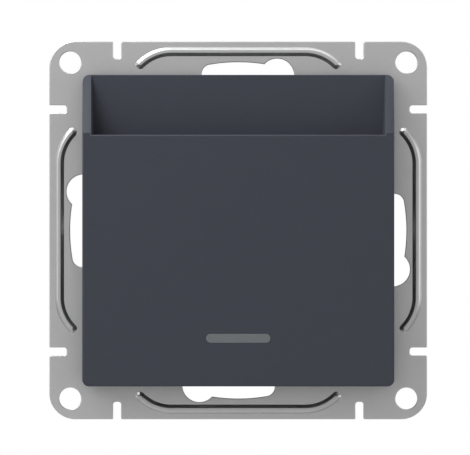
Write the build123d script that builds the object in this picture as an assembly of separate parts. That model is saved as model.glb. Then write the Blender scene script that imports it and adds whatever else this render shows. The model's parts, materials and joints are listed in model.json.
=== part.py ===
from build123d import *
import math
import os

# Hotel key card switch for a 60 mm wall box, without its decor frame.
# Millimetres. The origin is the centre of the support plate's back face, which lies on the wall.
# +X is right, +Y goes into the wall, +Z is up, and the viewer stands on the -Y side.

# Clearances and the overrun of cuts
overrun = 5.0
running_gap = 0.05
push_gap = 0.12
fit_gap = 0.15
loose_gap = 0.3

# Support plate
plate_size = 71.2
plate_thickness = 1.2
plate_corner_radius = 4.9
corner_hole_radius = 2.05
corner_hole_inset = 3.92
notch_width = 1.5
notch_depth = 3.26
notch_inset = 12.77
notch_bottom_radius = 0.5
aperture_radius = 2.0
aperture_gap = 0.55
plate_lap = 1.0

# Keyhole slots for wall box screws on a 60 mm pitch
wall_screw_inset = 5.6
keyhole_slot_width = 3.4
keyhole_circle_radius = 3.0
keyhole_circle_angle = 14.1
keyhole_slot_angle = 9.9
keyhole_count = 4

# Pressed beads along the four sides
bead_inset = 1.92
bead_end_inset = 23.0
bead_curve_radius = 8.3
bead_curve_angle = 49.0
bead_width = 1.64
bead_height = 0.45
bead_side_angle = 48.0
groove_width = 0.8
groove_depth = 0.95

# Cover: front moulding and rear tray
cover_size = 58.4
cover_corner_radius = 1.3
cover_edge_radius = 0.3
cover_wall = 2.0
panel_thickness = 2.0
panel_top = 17.9
cheek_rise = 0.3
cheek_width = 1.7
pocket_depth = 4.6
pocket_draft = 0.8
rim_clearance = 2.8
tray_wall = 2.0
skirt_wall = 1.8

# Card stop with its well, and the card guide ribs, in the front moulding
card_stop = -12.6
stop_thickness = 1.5
well_gap = 1.5
well_depth = 3.6
well_wall = 1.2
rib_inner_x = 8.4
rib_outer_x = 20.0
rib_thickness = 1.2
rib_straight = 4.6
rib_taper = 5.0
rib_height = 2.8

# Snap tongues of the front moulding through the tray
tongue_width = 5.0
tongue_thickness = 1.0
tongue_length = 3.2
tongue_hook = 0.5
tongue_high = 12.0
tongue_low = -19.0
tongue_bottom_offset = 16.0

# Light window and guide
window_width = 12.1
window_height = 1.75
window_drop = 2.8
guide_flange_rim = 0.8
guide_flange_thickness = 0.8
guide_foot_width = 5.0
guide_foot_height = 3.2

# Carrier on the front of the plate
carrier_height = 6.2
carrier_width = 41.2
carrier_top = 20.6
carrier_bottom_gap = 1.5
carrier_floor = 1.6
carrier_wall = 1.4
carrier_corner_radius = 2.0

# Clip legs of the tray in the carrier
clip_width = 5.0
clip_thickness = 1.3
clip_length = 4.4
clip_offset = 10.0
clip_hook = 0.8
clip_hook_length = 1.2

# Card lever and its pin
lever_rise = 3.6
lever_pin_radius = 0.8
lever_hub_radius = 2.0
lever_hub_length = 12.4
lever_travel_angle = 20.0
nose_width = 9.0
nose_reach = 8.3
nose_drop = 1.5
nose_thickness = 1.7
nose_root_drop = 3.5
nose_sweep_share = 0.75
tail_width = 4.4
tail_arm = 4.2
tail_offset = 0.9
tail_pad_radius = 1.1
back_arm_width = 4.4
back_arm_reach = 7.4
back_arm_thickness = 1.5
ear_thickness = 1.8
ear_radius = 2.2
ear_front_gap = 1.0

# Return spring over the lever's back arm
spring_length = 7.9
spring_seat_thickness = 1.6
spring_seat_width = 6.0
spring_offset = 5.6
spring_radius = 1.5
spring_wire_radius = 0.2
spring_turns = 5
spring_end_gap = 0.05
spring_peg_radius = 0.9
spring_peg_height = 0.9

# Indicator board and what it carries
board_end_margin = 2.0
board_height = 6.0
board_thickness = 1.2
board_standoff = 0.6
board_rise = 0.7
standoff_width = 2.0
lamp_radius = 1.5
lamp_height = 3.8
lamp_flange_radius = 1.85
lamp_flange_thickness = 0.8
component_offset = 6.6
component_drop = 1.2
component_lift = 0.35
resistor_radius = 0.95
resistor_length = 4.4
diode_radius = 0.75
diode_length = 3.4
lead_radius = 0.25
lead_spread = 1.2
board_pin_radius = 0.45
board_pin_rise = 1.6
board_pin_tail = 0.6

# Rear housing
housing_side_step = 0.4
housing_floor_gap = 0.5
housing_corner_gap = 1.2
housing_wall = 1.5
housing_edge_radius = 0.8
post_radius = 3.0
post_gap = 1.32
post_pilot_radius = 1.25

# Carrier screws
carrier_screw_radius = 1.45
carrier_screw_gap = 0.5
carrier_screw_end_gap = 0.6
carrier_screw_head_radius = 2.7
carrier_screw_head_height = 1.8
drive_slot_width = 0.7
drive_slot_depth = 0.9

# Microswitch
switch_length = 19.8
switch_depth = 10.2
switch_thickness = 6.4
switch_wall = 1.2
switch_lid = 1.2
switch_cavity_gap = 0.5
plunger_offset = 2.4
plunger_width = 2.6
plunger_height = 2.6
plunger_projection = 1.6
plunger_travel = 1.44
switch_hole_pitch = 9.5
switch_hole_setback = 1.55
switch_screw_radius = 0.95
switch_screw_head_radius = 1.7
switch_screw_head_height = 0.8
switch_screw_grip = 2.0
blade_thickness = 0.3
blade_width = 3.2
blade_root_inset = 1.4
blade_end_margin = 0.8
blade_eye_radius = 0.6
socket_size = 2.0
socket_mouth = 0.9
contact_inset = 2.1
contact_radius = 1.1
contact_height = 0.5
tab_thickness = 0.5
tab_width = 3.2

# Switch posts in the housing
switch_post_width = 3.4
switch_post_thickness = 2.2

# Brass strips
strip_thickness = 1.0
strip_tab_width = 4.0
strip_leg_width = 5.6
strip_leg_gap = 1.4
strip_short_margin = 1.2
strip_long_margin = 1.1

# Lift clamps and their screws
terminal_pitch = 12.0
cage_width = 6.6
cage_depth = 7.0
cage_side = 1.0
cage_top = 1.6
cage_floor = 1.2
wire_size = 3.8
cage_travel = 3.0
cage_setback = 2.0
cage_front_gap = 1.38
block_front_gap = 0.58
block_web = 1.2
block_wall = 1.1
terminal_screw_radius = 1.6
terminal_head_radius = 2.3
terminal_head_height = 2.0
terminal_head_recess = 1.0
wire_funnel = 0.7

# Spreading claws
claw_screw_radius = 1.25
claw_screw_spare = 1.3
claw_head_radius = 2.4
claw_head_height = 1.7
claw_head_gap = 0.6
claw_pin_lead = 2.4
claw_pin_depth = 1.9
claw_pin_radius = 0.7
claw_eye_radius = 1.5
claw_width = 9.0
claw_cheek = 0.9
claw_web = 0.8
claw_web_lead = 1.2
claw_length = 20.0
ramp_half_rise = 1.4
ramp_foot_gap = 4.0
ramp_end_gap = 2.5
tooth_height = 0.8
tooth_pitch = 3.0
tooth_count = 3
claw_ear_thickness = 1.0
nut_setback = 5.0
nut_length = 5.0
nut_ear_length = 2.0
nut_core_wall = 0.35
nut_travel = 5.0

# Places on the plate
corner_hole_pitch = plate_size - corner_hole_inset * 2
notch_pitch = plate_size - notch_inset * 2
wall_screw_pitch = plate_size - wall_screw_inset * 2
bead_distance = plate_size / 2 - bead_inset
bead_straight = plate_size - bead_end_inset * 2

# Sizes of the card pocket, the well and the ribs
cheek_foot = panel_top + cheek_rise
pocket_mouth_width = cover_size - cheek_width * 2
pocket_back_width = pocket_mouth_width - pocket_draft
well_width = nose_width + well_gap * 2
well_bottom = card_stop - well_depth
rib_full = card_stop + rib_straight
rib_top = rib_full + rib_taper

# Heights below the card stop: window, board, board pins, strips, housing
window_centre = well_bottom - well_wall - window_drop
board_centre = window_centre + board_rise
board_pin_height = board_centre + board_pin_rise
strip_long_end = board_pin_height - strip_long_margin
housing_height = (housing_wall + housing_floor_gap - strip_long_end) * 2
aperture_height = housing_height - plate_lap * 2
carrier_bottom = board_centre - board_height / 2 - carrier_bottom_gap

# Widths that follow the carrier and the terminals
housing_width = carrier_width + housing_side_step * 2
housing_chamfer = housing_width / 2 - terminal_pitch - strip_leg_width / 2 - housing_corner_gap
carrier_screw_offset = carrier_width / 2 - carrier_wall - carrier_screw_head_radius - carrier_screw_gap
board_pin_offset = terminal_pitch
board_width = (board_pin_offset + board_end_margin) * 2
pins_reach = board_pin_offset + board_pin_radius
switch_reach = switch_length / 2 + plunger_offset
aperture_width = (max(pins_reach, switch_reach) + aperture_gap) * 2

# Levels along Y on the viewer's side of the wall
plate_front = -plate_thickness
carrier_front = plate_front - carrier_floor
tray_back = plate_front - carrier_height
pocket_back = tray_back - tray_wall
panel_back = pocket_back - pocket_depth
panel_front = panel_back - panel_thickness
skirt_end = plate_front - rim_clearance
board_back = carrier_front - board_standoff
board_front = board_back - board_thickness
lamp_tip = board_front - lamp_height

# Places worked out from the lever
lever_pivot_y = tray_back + ear_radius + ear_front_gap
lever_pivot_z = card_stop + lever_rise
spring_seat_height = lever_pivot_z + back_arm_thickness + spring_length
tail_contact_y = lever_pivot_y + tail_offset + tail_pad_radius
plunger_tip = tail_contact_y + push_gap
switch_front = plunger_tip + plunger_projection
switch_back = switch_front + switch_depth
switch_centre_z = lever_pivot_z - tail_arm
switch_centre_x = -plunger_offset
lid_top = switch_centre_z + switch_thickness / 2
tab_end = switch_back + strip_leg_gap
post_length = tab_end - post_gap
carrier_screw_length = post_length - carrier_screw_end_gap - carrier_front
strip_short_end = switch_centre_z - strip_short_margin

# Places inside the microswitch, along X from its middle and along Y from its front
blade_root = switch_length / 2 - switch_wall - blade_root_inset
contact_offset = switch_length / 2 - switch_wall - contact_inset
blade_reach = contact_offset + blade_end_margin
cavity_back = switch_depth - switch_hole_setback - switch_screw_radius - switch_cavity_gap
blade_depth = switch_wall + blade_thickness + contact_height * 2 + push_gap + tab_thickness
blade_y = switch_front + blade_depth
blade_arm = blade_root + plunger_offset - plunger_width / 2
blade_swing = math.degrees(math.asin(plunger_travel / blade_arm))

# Places worked out from the terminals
cage_front = tab_end + strip_thickness + cage_front_gap
cage_back = cage_front + cage_depth
cage_centre = (cage_front + cage_back) / 2
block_front = tab_end + strip_thickness + block_front_gap
housing_inner_back = cage_back + cage_setback
housing_depth = housing_inner_back + housing_wall
housing_top = housing_height / 2
cage_interior = strip_thickness + wire_size + loose_gap
cage_height = cage_top + cage_interior + cage_floor
head_seat = housing_top - terminal_head_recess - terminal_head_height
pocket_top = head_seat - block_web
cage_rest_top = pocket_top - cage_travel - fit_gap
strip_level = cage_rest_top - cage_top - loose_gap
cage_rest_bottom = cage_rest_top - cage_height
pocket_bottom = cage_rest_bottom - fit_gap
terminal_places = {"live": -terminal_pitch, "load": 0.0, "neutral": terminal_pitch}

# Places of the claws, the right-hand one
claw_screw_offset = carrier_width / 2 + claw_head_radius + claw_head_gap
claw_pin_offset = claw_screw_offset + claw_pin_lead
claw_web_face = claw_pin_offset + claw_web_lead
nut_centre = claw_length - nut_setback
nut_core_face = claw_screw_offset + claw_screw_radius + nut_core_wall
ramp_foot_x = claw_screw_offset - ramp_half_rise
ramp_foot_y = nut_centre - nut_travel - nut_ear_length / 2 - ramp_foot_gap
ramp_head_x = claw_screw_offset + ramp_half_rise
ramp_head_y = claw_length - ramp_end_gap
claw_screw_length = nut_centre + nut_length / 2 + plate_thickness + claw_screw_spare


def front_plane(y):
    """Plane facing the viewer at depth y, with sketch x along X and sketch y along Z."""
    return Plane(origin=(0, y, 0), x_dir=(1, 0, 0), z_dir=(0, -1, 0))


def side_plane(x):
    """Plane facing +X, with sketch x along Y and sketch y along Z."""
    return Plane(origin=(x, 0, 0), x_dir=(0, 1, 0), z_dir=(1, 0, 0))


def level_plane(z):
    """Plane facing up, with sketch x along X and sketch y along Y."""
    return Plane(origin=(0, 0, z), x_dir=(1, 0, 0), z_dir=(0, 0, 1))


def slab(sketch, y_back, y_front):
    """Front-view sketch as a slab from y_back out to y_front."""
    return extrude(front_plane(y_back) * sketch, amount=y_back - y_front)


def bar(sketch, x_low, x_high):
    """Side-view sketch as a bar from x_low to x_high."""
    return extrude(side_plane(x_low) * sketch, amount=x_high - x_low)


def column(sketch, z_low, z_high):
    """Plan-view sketch as a column from z_low to z_high."""
    return extrude(level_plane(z_low) * sketch, amount=z_high - z_low)


def block(x_low, x_high, y_low, y_high, z_low, z_high):
    """Box between two corners."""
    size = (x_high - x_low, y_high - y_low, z_high - z_low)
    middle = ((x_low + x_high) / 2, (y_low + y_high) / 2, (z_low + z_high) / 2)
    return Pos(*middle) * Box(*size)


def rod_x(radius, x_low, x_high, y, z):
    """Round rod along X."""
    return bar(Pos(y, z) * Circle(radius), x_low, x_high)


def rod_y(radius, y_low, y_high, x, z):
    """Round rod along Y."""
    return slab(Pos(x, z) * Circle(radius), y_high, y_low)


def rod_z(radius, z_low, z_high, x, y):
    """Round rod along Z."""
    return column(Pos(x, y) * Circle(radius), z_low, z_high)


def polygon(*points):
    """Closed straight-sided face through points."""
    return make_face(Polyline(*points, close=True))


def between(x_low, x_high, y_low, y_high):
    """Rectangle sketch between two corners."""
    middle = Pos((x_low + x_high) / 2, (y_low + y_high) / 2)
    return middle * Rectangle(x_high - x_low, y_high - y_low)


def polar(radius, angle):
    """Point at a radius and an angle in degrees."""
    return (radius * math.cos(math.radians(angle)), radius * math.sin(math.radians(angle)))


def mirrored(shape):
    """The same shape on the other side of the middle plane x = 0."""
    return mirror(shape, about=Plane.YZ)


def pocket_half_width(y):
    """Half the width of the drafted card pocket at depth y."""
    share = (pocket_back - y) / (pocket_back - panel_front)
    return (pocket_back_width + (pocket_mouth_width - pocket_back_width) * share) / 2


def notch_sketch():
    """One edge notch at the top of the plate, with a rounded bottom."""
    top = plate_size / 2
    notch = between(-notch_width / 2, notch_width / 2, top - notch_depth, top + overrun)
    bottom = notch.vertices().group_by(Axis.Y)[0]
    return fillet(bottom, notch_bottom_radius)


def keyhole_sketch():
    """Left keyhole: a round hole above a slot that follows the screw circle."""
    track = wall_screw_pitch / 2
    inner = track - keyhole_slot_width / 2
    outer = track + keyhole_slot_width / 2
    start = 180 - keyhole_circle_angle
    end = 180 + keyhole_slot_angle
    middle = (start + end) / 2
    outline = [
        ThreePointArc(polar(outer, start), polar(outer, middle), polar(outer, end)),
        Line(polar(outer, end), polar(inner, end)),
        ThreePointArc(polar(inner, end), polar(inner, middle), polar(inner, start)),
        Line(polar(inner, start), polar(outer, start)),
    ]
    slot = make_face(Curve() + outline)
    slot += Pos(*polar(track, end)) * Circle(keyhole_slot_width / 2)
    return slot + Pos(*polar(track, start)) * Circle(keyhole_circle_radius)


def bead_outline(width, end_inset):
    """Plan of the top bead: a straight run with both ends curving inwards, cut square."""
    half = bead_straight / 2
    centre_z = bead_distance - bead_curve_radius
    low_radius = bead_curve_radius - width / 2
    high_radius = bead_curve_radius + width / 2
    full = bead_curve_angle - math.degrees(end_inset / bead_curve_radius)
    mid = full / 2

    def on_curve(radius, angle, side):
        """Point on an end curve, at an angle from straight up, right or left."""
        reach = radius * math.sin(math.radians(angle))
        rise = radius * math.cos(math.radians(angle))
        return (side * (half + reach), centre_z + rise)

    edges = [
        Line(on_curve(high_radius, 0, -1), on_curve(high_radius, 0, 1)),
        ThreePointArc(*[on_curve(high_radius, angle, 1) for angle in (0, mid, full)]),
        Line(on_curve(high_radius, full, 1), on_curve(low_radius, full, 1)),
        ThreePointArc(*[on_curve(low_radius, angle, 1) for angle in (full, mid, 0)]),
        Line(on_curve(low_radius, 0, 1), on_curve(low_radius, 0, -1)),
        ThreePointArc(*[on_curve(low_radius, angle, -1) for angle in (0, mid, full)]),
        Line(on_curve(low_radius, full, -1), on_curve(high_radius, full, -1)),
        ThreePointArc(*[on_curve(high_radius, angle, -1) for angle in (full, mid, 0)]),
    ]
    return make_face(Curve() + edges)


def four_ways(sketch):
    """The same sketch turned to all four sides of the plate."""
    return [Rot(0, 0, 360 / keyhole_count * turn) * sketch for turn in range(keyhole_count)]


def raised_bead(turn):
    """One bead with sloping sides and ends, standing on the plate's front."""
    slope = bead_height * math.tan(math.radians(bead_side_angle))
    foot = front_plane(plate_front) * four_ways(bead_outline(bead_width, 0))[turn]
    crest = front_plane(plate_front - bead_height)
    crest *= four_ways(bead_outline(bead_width - slope * 2, slope))[turn]
    return loft([foot, crest], ruled=True)


def mounting_plate():
    """Pressed steel plate with its holes, notches, keyholes, beads and claw ears."""
    outline = RectangleRounded(plate_size, plate_size, plate_corner_radius)
    for place in GridLocations(corner_hole_pitch, corner_hole_pitch, 2, 2):
        outline -= place * Circle(corner_hole_radius)
    for side in (-1, 1):
        for turned in four_ways(Pos(side * notch_pitch / 2, 0) * notch_sketch()):
            outline -= turned
    for turned in four_ways(keyhole_sketch()):
        outline -= turned
    outline -= RectangleRounded(aperture_width, aperture_height, aperture_radius)
    for side in (-1, 1):
        outline -= Pos(side * carrier_screw_offset, 0) * Circle(carrier_screw_radius + fit_gap)
        outline -= Pos(side * claw_screw_offset, 0) * Circle(claw_screw_radius + fit_gap)
    plate = slab(outline, 0, plate_front)
    for turn, sunk in enumerate(four_ways(bead_outline(groove_width, 0))):
        plate = plate + raised_bead(turn) - slab(sunk, 0, -groove_depth)
    ear_low = claw_width / 2 + fit_gap
    ear = between(claw_pin_offset - claw_eye_radius, claw_pin_offset + claw_eye_radius, 0, claw_pin_depth)
    ear += Pos(claw_pin_offset, claw_pin_depth) * Circle(claw_eye_radius)
    ear -= Pos(claw_pin_offset, claw_pin_depth) * Circle(claw_pin_radius + running_gap)
    for low in (ear_low, -ear_low - claw_ear_thickness):
        right = column(ear, low, low + claw_ear_thickness)
        plate = plate + right + mirrored(right)
    return plate


def tongue(hook_side):
    """Snap tongue standing at the origin, pointing into the wall, hooked towards hook_side."""
    root = pocket_back - cover_wall / 2
    tip = pocket_back + tongue_length
    shank = between(0, tongue_thickness, root, tip)
    hook_front = tray_back + push_gap
    hook = polygon((0, hook_front), (-tongue_hook, hook_front), (0, tip))
    body = column(shank + hook, -tongue_width / 2, tongue_width / 2)
    return body if hook_side < 0 else mirrored(body)


def tongue_places():
    """Each snap tongue's placement, on the two side walls and the bottom wall."""
    wall = cover_size / 2 - cover_wall
    places = []
    for height in (tongue_high, tongue_low):
        places.append(Pos(wall, 0, height) * tongue(-1))
        places.append(Pos(-wall, 0, height) * tongue(1))
    for side in (-1, 1):
        places.append(Pos(side * tongue_bottom_offset, 0, -wall) * Rot(0, 90, 0) * tongue(-1))
    return places


def tongue_slots():
    """Slots in the tray that the tongues pass through, with room beside them in the skirt."""
    wall = cover_size / 2 - cover_wall
    room = tongue_width / 2 + fit_gap
    deep = wall + tongue_thickness + fit_gap
    tall = (pocket_back - overrun, pocket_back + tongue_length + fit_gap)
    slots = []
    for height in (tongue_high, tongue_low):
        right = block(wall - fit_gap, deep, *tall, height - room, height + room)
        slots += [right, mirrored(right)]
    for side in (-1, 1):
        middle = side * tongue_bottom_offset
        slots.append(block(middle - room, middle + room, *tall, -deep, -wall + fit_gap))
    return slots


def front_cover():
    """Front moulding: panel, cheeks, walls, card stop with its well, ribs and tongues."""
    half = cover_size / 2
    profile = polygon(
        (pocket_back, -half), (panel_front, -half), (panel_front, cheek_foot), (pocket_back, half)
    )
    cover = bar(profile, -half, half)
    cover &= slab(RectangleRounded(cover_size, cover_size, cover_corner_radius), pocket_back, panel_front)

    def pocket(y_front):
        """Drafted pocket space in plan view, from behind its back wall out to y_front."""
        y_back = pocket_back + overrun
        wide = pocket_half_width(y_front)
        narrow = pocket_half_width(pocket_back)
        return polygon(
            (-narrow, y_back), (narrow, y_back), (narrow, pocket_back), (wide, y_front),
            (-wide, y_front), (-narrow, pocket_back)
        )

    rise = half + overrun - panel_top
    lean = Vector(0, rise * (pocket_back - panel_front) / (half - cheek_foot), rise)
    cover -= column(pocket(panel_back), cover_wall - half, panel_top)
    mouth = level_plane(panel_top) * pocket(panel_front - overrun)
    cover -= extrude(mouth, amount=lean.length, dir=lean.normalized())
    outer_edges = cover.faces().sort_by(Axis.Y)[0].outer_wire().edges()
    cover = fillet(outer_edges, cover_edge_radius)
    inner = pocket_half_width(panel_back)
    span = (panel_back, pocket_back)
    well = well_width / 2
    cover += block(-inner, inner, *span, card_stop - stop_thickness, card_stop)
    cover += block(-well - well_wall, well + well_wall, *span, well_bottom - well_wall, card_stop)
    cover -= block(-well, well, panel_back, pocket_back + overrun, well_bottom, card_stop + overrun)
    rib = polygon(
        (panel_back, rib_top), (panel_back, card_stop), (panel_back + rib_height, card_stop),
        (panel_back + rib_height, rib_full)
    )
    for middle in (-rib_outer_x, -rib_inner_x, rib_inner_x, rib_outer_x):
        cover += bar(rib, middle - rib_thickness / 2, middle + rib_thickness / 2)
    for placed in tongue_places():
        cover += placed
    hole = Pos(0, window_centre) * SlotOverall(window_width + running_gap, window_height + running_gap)
    return cover - slab(hole, panel_back + overrun, panel_front - overrun)


def clip_leg():
    """Clip leg of the tray on the right, hooked outwards into the carrier's wall."""
    face = carrier_width / 2 - carrier_wall - loose_gap
    tip = tray_back + clip_length
    hook_front = tip - clip_hook_length
    leg = between(face - clip_thickness, face, tray_back - tray_wall / 2, tip)
    leg += polygon((face, hook_front), (face + clip_hook + loose_gap, hook_front), (face, tip))
    return column(leg, -clip_width / 2, clip_width / 2)


def cover_tray():
    """Rear half of the cover: the slot's back wall, the skirt, the clips and the cut-outs."""
    outline = RectangleRounded(cover_size, cover_size, cover_corner_radius)
    inner_size = cover_size - skirt_wall * 2
    tray = slab(outline, skirt_end, pocket_back)
    tray -= slab(Rectangle(inner_size, inner_size), skirt_end + overrun, tray_back)
    nose_half = nose_width / 2 + loose_gap
    sweep_down = nose_reach * nose_sweep_share * math.sin(math.radians(lever_travel_angle))
    low = lever_pivot_z - nose_root_drop - sweep_down
    high = lever_pivot_z + loose_gap
    tray -= block(-nose_half, nose_half, pocket_back - overrun, tray_back + overrun, low - loose_gap, high)
    foot_w = window_width + guide_flange_rim * 2
    foot_h = guide_foot_height + guide_flange_rim
    tray -= Pos(0, tray_back, window_centre) * Box(foot_w, overrun, foot_h)
    for slot in tongue_slots():
        tray -= slot
    for height in (-clip_offset, clip_offset):
        leg = Pos(0, 0, height) * clip_leg()
        tray = tray + leg + mirrored(leg)
    return tray


def light_guide():
    """Window bar flush with the panel, its flange behind the panel, and the taper to the lamp."""
    face = slab(Pos(0, window_centre) * SlotOverall(window_width, window_height), panel_back, panel_front)
    flange_w = window_width + guide_flange_rim * 2
    flange_h = window_height + guide_flange_rim * 2
    flange_back = panel_back + guide_flange_thickness
    flange = slab(Pos(0, window_centre) * SlotOverall(flange_w, flange_h), flange_back, panel_back)
    wide = front_plane(flange_back) * Pos(0, window_centre) * Rectangle(window_width, window_height)
    foot_y = lamp_tip - loose_gap
    narrow = front_plane(foot_y) * Pos(0, window_centre) * Rectangle(guide_foot_width, guide_foot_height)
    return face + flange + loft([wide, narrow])


def switch_carrier():
    """Frame on the plate: floor, walls, lever ears, spring seat, board standoffs, clip windows."""
    half = carrier_width / 2
    height = carrier_top - carrier_bottom
    middle = (carrier_top + carrier_bottom) / 2
    outline = Pos(0, middle) * RectangleRounded(carrier_width, height, carrier_corner_radius)
    inside = Pos(0, middle) * Rectangle(carrier_width - carrier_wall * 2, height - carrier_wall * 2)
    carrier = slab(outline, plate_front, tray_back)
    carrier -= slab(inside, carrier_front, tray_back - overrun)
    window_half = lever_hub_length / 2 + fit_gap
    window_low = switch_centre_z - plunger_height - loose_gap
    arm_rise = (plate_front - lever_pivot_y) * math.sin(math.radians(lever_travel_angle))
    window_high = lever_pivot_z + back_arm_thickness + arm_rise + loose_gap
    carrier -= block(-window_half, window_half, carrier_front - overrun, overrun, window_low, window_high)
    for side in (-1, 1):
        carrier -= rod_y(carrier_screw_radius + fit_gap, carrier_front - overrun, overrun,
                         side * carrier_screw_offset, 0)
    ear = between(lever_pivot_y, carrier_front, lever_pivot_z - ear_radius, lever_pivot_z + ear_radius)
    ear += Pos(lever_pivot_y, lever_pivot_z) * Circle(ear_radius)
    ear -= Pos(lever_pivot_y, lever_pivot_z) * Circle(lever_pin_radius + running_gap)
    right_ear = bar(ear, window_half, window_half + ear_thickness)
    carrier = carrier + right_ear + mirrored(right_ear)
    seat_half = spring_seat_width / 2
    spring_y = lever_pivot_y + spring_offset
    seat_end = spring_y + spring_radius + loose_gap * 2
    carrier += block(-seat_half, seat_half, carrier_front, seat_end,
                     spring_seat_height, spring_seat_height + spring_seat_thickness)
    carrier += rod_z(spring_peg_radius, spring_seat_height - spring_peg_height, spring_seat_height,
                     0, spring_y)
    for side in (-1, 1):
        for edge in (-1, 1):
            x = side * (board_width - standoff_width) / 2
            z = board_centre + edge * (board_height - standoff_width) / 2
            carrier += block(x - standoff_width / 2, x + standoff_width / 2, board_back, carrier_front,
                             z - standoff_width / 2, z + standoff_width / 2)
        carrier -= rod_y(board_pin_radius + fit_gap, carrier_front - overrun, overrun,
                         side * board_pin_offset, board_pin_height)
    tip = tray_back + clip_length
    room = clip_width / 2 + fit_gap
    for height_z in (-clip_offset, clip_offset):
        right = block(half - carrier_wall - fit_gap, half + overrun, tip - clip_hook_length - push_gap,
                      tip + fit_gap, height_z - room, height_z + room)
        carrier = carrier - right - mirrored(right)
    return carrier


def card_lever():
    """Rocker: hub on the pin, nose into the card pocket, tail to the plunger, arm to the spring."""
    y = lever_pivot_y
    z = lever_pivot_z
    hub = Pos(y, z) * Circle(lever_hub_radius)
    tip_top = z - nose_drop
    nose = polygon(
        (y, z + lever_hub_radius), (y - lever_hub_radius, z), (y - nose_reach / 2, tip_top),
        (y - nose_reach, tip_top), (y - nose_reach, tip_top - nose_thickness),
        (y - nose_reach / 2, z - nose_root_drop), (y, z - lever_hub_radius)
    )
    nose = fillet(nose.vertices().group_by(Axis.X)[0], nose_thickness / 3)
    pad = Pos(y + tail_offset, z - tail_arm) * Circle(tail_pad_radius)
    tail = polygon(
        (y - lever_hub_radius / 2, z), (y + tail_offset - tail_pad_radius, z - tail_arm),
        (y + tail_offset + tail_pad_radius / 2, z - tail_arm), (y + lever_hub_radius / 2, z)
    ) + pad
    arm_end = y + back_arm_reach
    arm = between(y, arm_end, z, z + back_arm_thickness)
    bore = rod_x(lever_pin_radius + running_gap, -lever_hub_length, lever_hub_length, y, z)
    lever = bar(hub, -lever_hub_length / 2, lever_hub_length / 2)
    lever += bar(nose, -nose_width / 2, nose_width / 2)
    lever += bar(tail, -tail_width / 2, tail_width / 2)
    lever += bar(arm, -back_arm_width / 2, back_arm_width / 2)
    lever += rod_z(spring_peg_radius, z + back_arm_thickness, z + back_arm_thickness + spring_peg_height,
                   0, y + spring_offset)
    return lever - bore


def lever_pin():
    """Steel pin through both ears and the lever's hub."""
    reach = lever_hub_length / 2 + fit_gap + ear_thickness
    return rod_x(lever_pin_radius, -reach, reach, lever_pivot_y, lever_pivot_z)


def lever_spring():
    """Compression spring between the lever's back arm and the carrier's seat, one open coil."""
    low = lever_pivot_z + back_arm_thickness + spring_wire_radius + spring_end_gap
    high = spring_seat_height - spring_wire_radius - spring_end_gap
    length = high - low
    pitch = length / spring_turns
    coil_radius = spring_radius - spring_wire_radius
    path = Helix(pitch=pitch, height=length, radius=coil_radius)
    start = Plane(origin=path @ 0, z_dir=path % 0)
    wire = sweep(start * Circle(spring_wire_radius), path=path, is_frenet=True)
    return Pos(0, lever_pivot_y + spring_offset, low) * wire


def spring_gap():
    """Least distance between neighbouring turns of the return spring, measured on points."""
    low = lever_pivot_z + back_arm_thickness + spring_wire_radius + spring_end_gap
    length = spring_seat_height - spring_wire_radius - spring_end_gap - low
    coil_radius = spring_radius - spring_wire_radius
    steps = 48
    points = []
    for index in range(spring_turns * steps + 1):
        angle = 2 * math.pi * index / steps
        rise = length * index / (spring_turns * steps)
        points.append((coil_radius * math.cos(angle), coil_radius * math.sin(angle), rise))
    least = length
    for index, first in enumerate(points):
        for second in points[index + steps * 3 // 4:]:
            least = min(least, math.dist(first, second))
    return least - 2 * spring_wire_radius


def indicator_board():
    """Small circuit board with holes for its two contact pins."""
    board = block(-board_width / 2, board_width / 2, board_front, board_back,
                  board_centre - board_height / 2, board_centre + board_height / 2)
    for side in (-1, 1):
        board -= rod_y(board_pin_radius + running_gap, board_front - overrun, board_back + overrun,
                       side * board_pin_offset, board_pin_height)
    return board


def indicator_lamp():
    """Round diode lamp with its flange and domed tip, standing on the board."""
    flange = rod_y(lamp_flange_radius, board_front - lamp_flange_thickness, board_front, 0, window_centre)
    body = rod_y(lamp_radius, lamp_tip + lamp_radius, board_front, 0, window_centre)
    return flange + body + Pos(0, lamp_tip + lamp_radius, window_centre) * Sphere(lamp_radius)


def axial_part(radius, length, x):
    """Axial component lying on the board, with both leads bent down to it."""
    z = board_centre - component_drop
    y = board_front - radius - component_lift
    reach = length / 2 + lead_spread
    body = rod_x(radius, x - length / 2, x + length / 2, y, z)
    body = chamfer(body.edges().filter_by(GeomType.CIRCLE), radius / 4)
    wire = rod_x(lead_radius, x - reach - lead_radius, x + reach + lead_radius, y, z)
    for side in (-1, 1):
        wire += rod_y(lead_radius, y, board_front, x + side * reach, z)
    return body + wire


def board_pin(x):
    """Contact pin from the board back to a brass strip's leg."""
    return rod_y(board_pin_radius, board_front - board_pin_tail, tab_end, x, board_pin_height)


def housing_outline(inset):
    """Housing outline in front view, with cut corners, drawn in by an inset."""
    sketch = Rectangle(housing_width - inset * 2, housing_height - inset * 2)
    return chamfer(sketch.vertices(), housing_chamfer)


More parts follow.
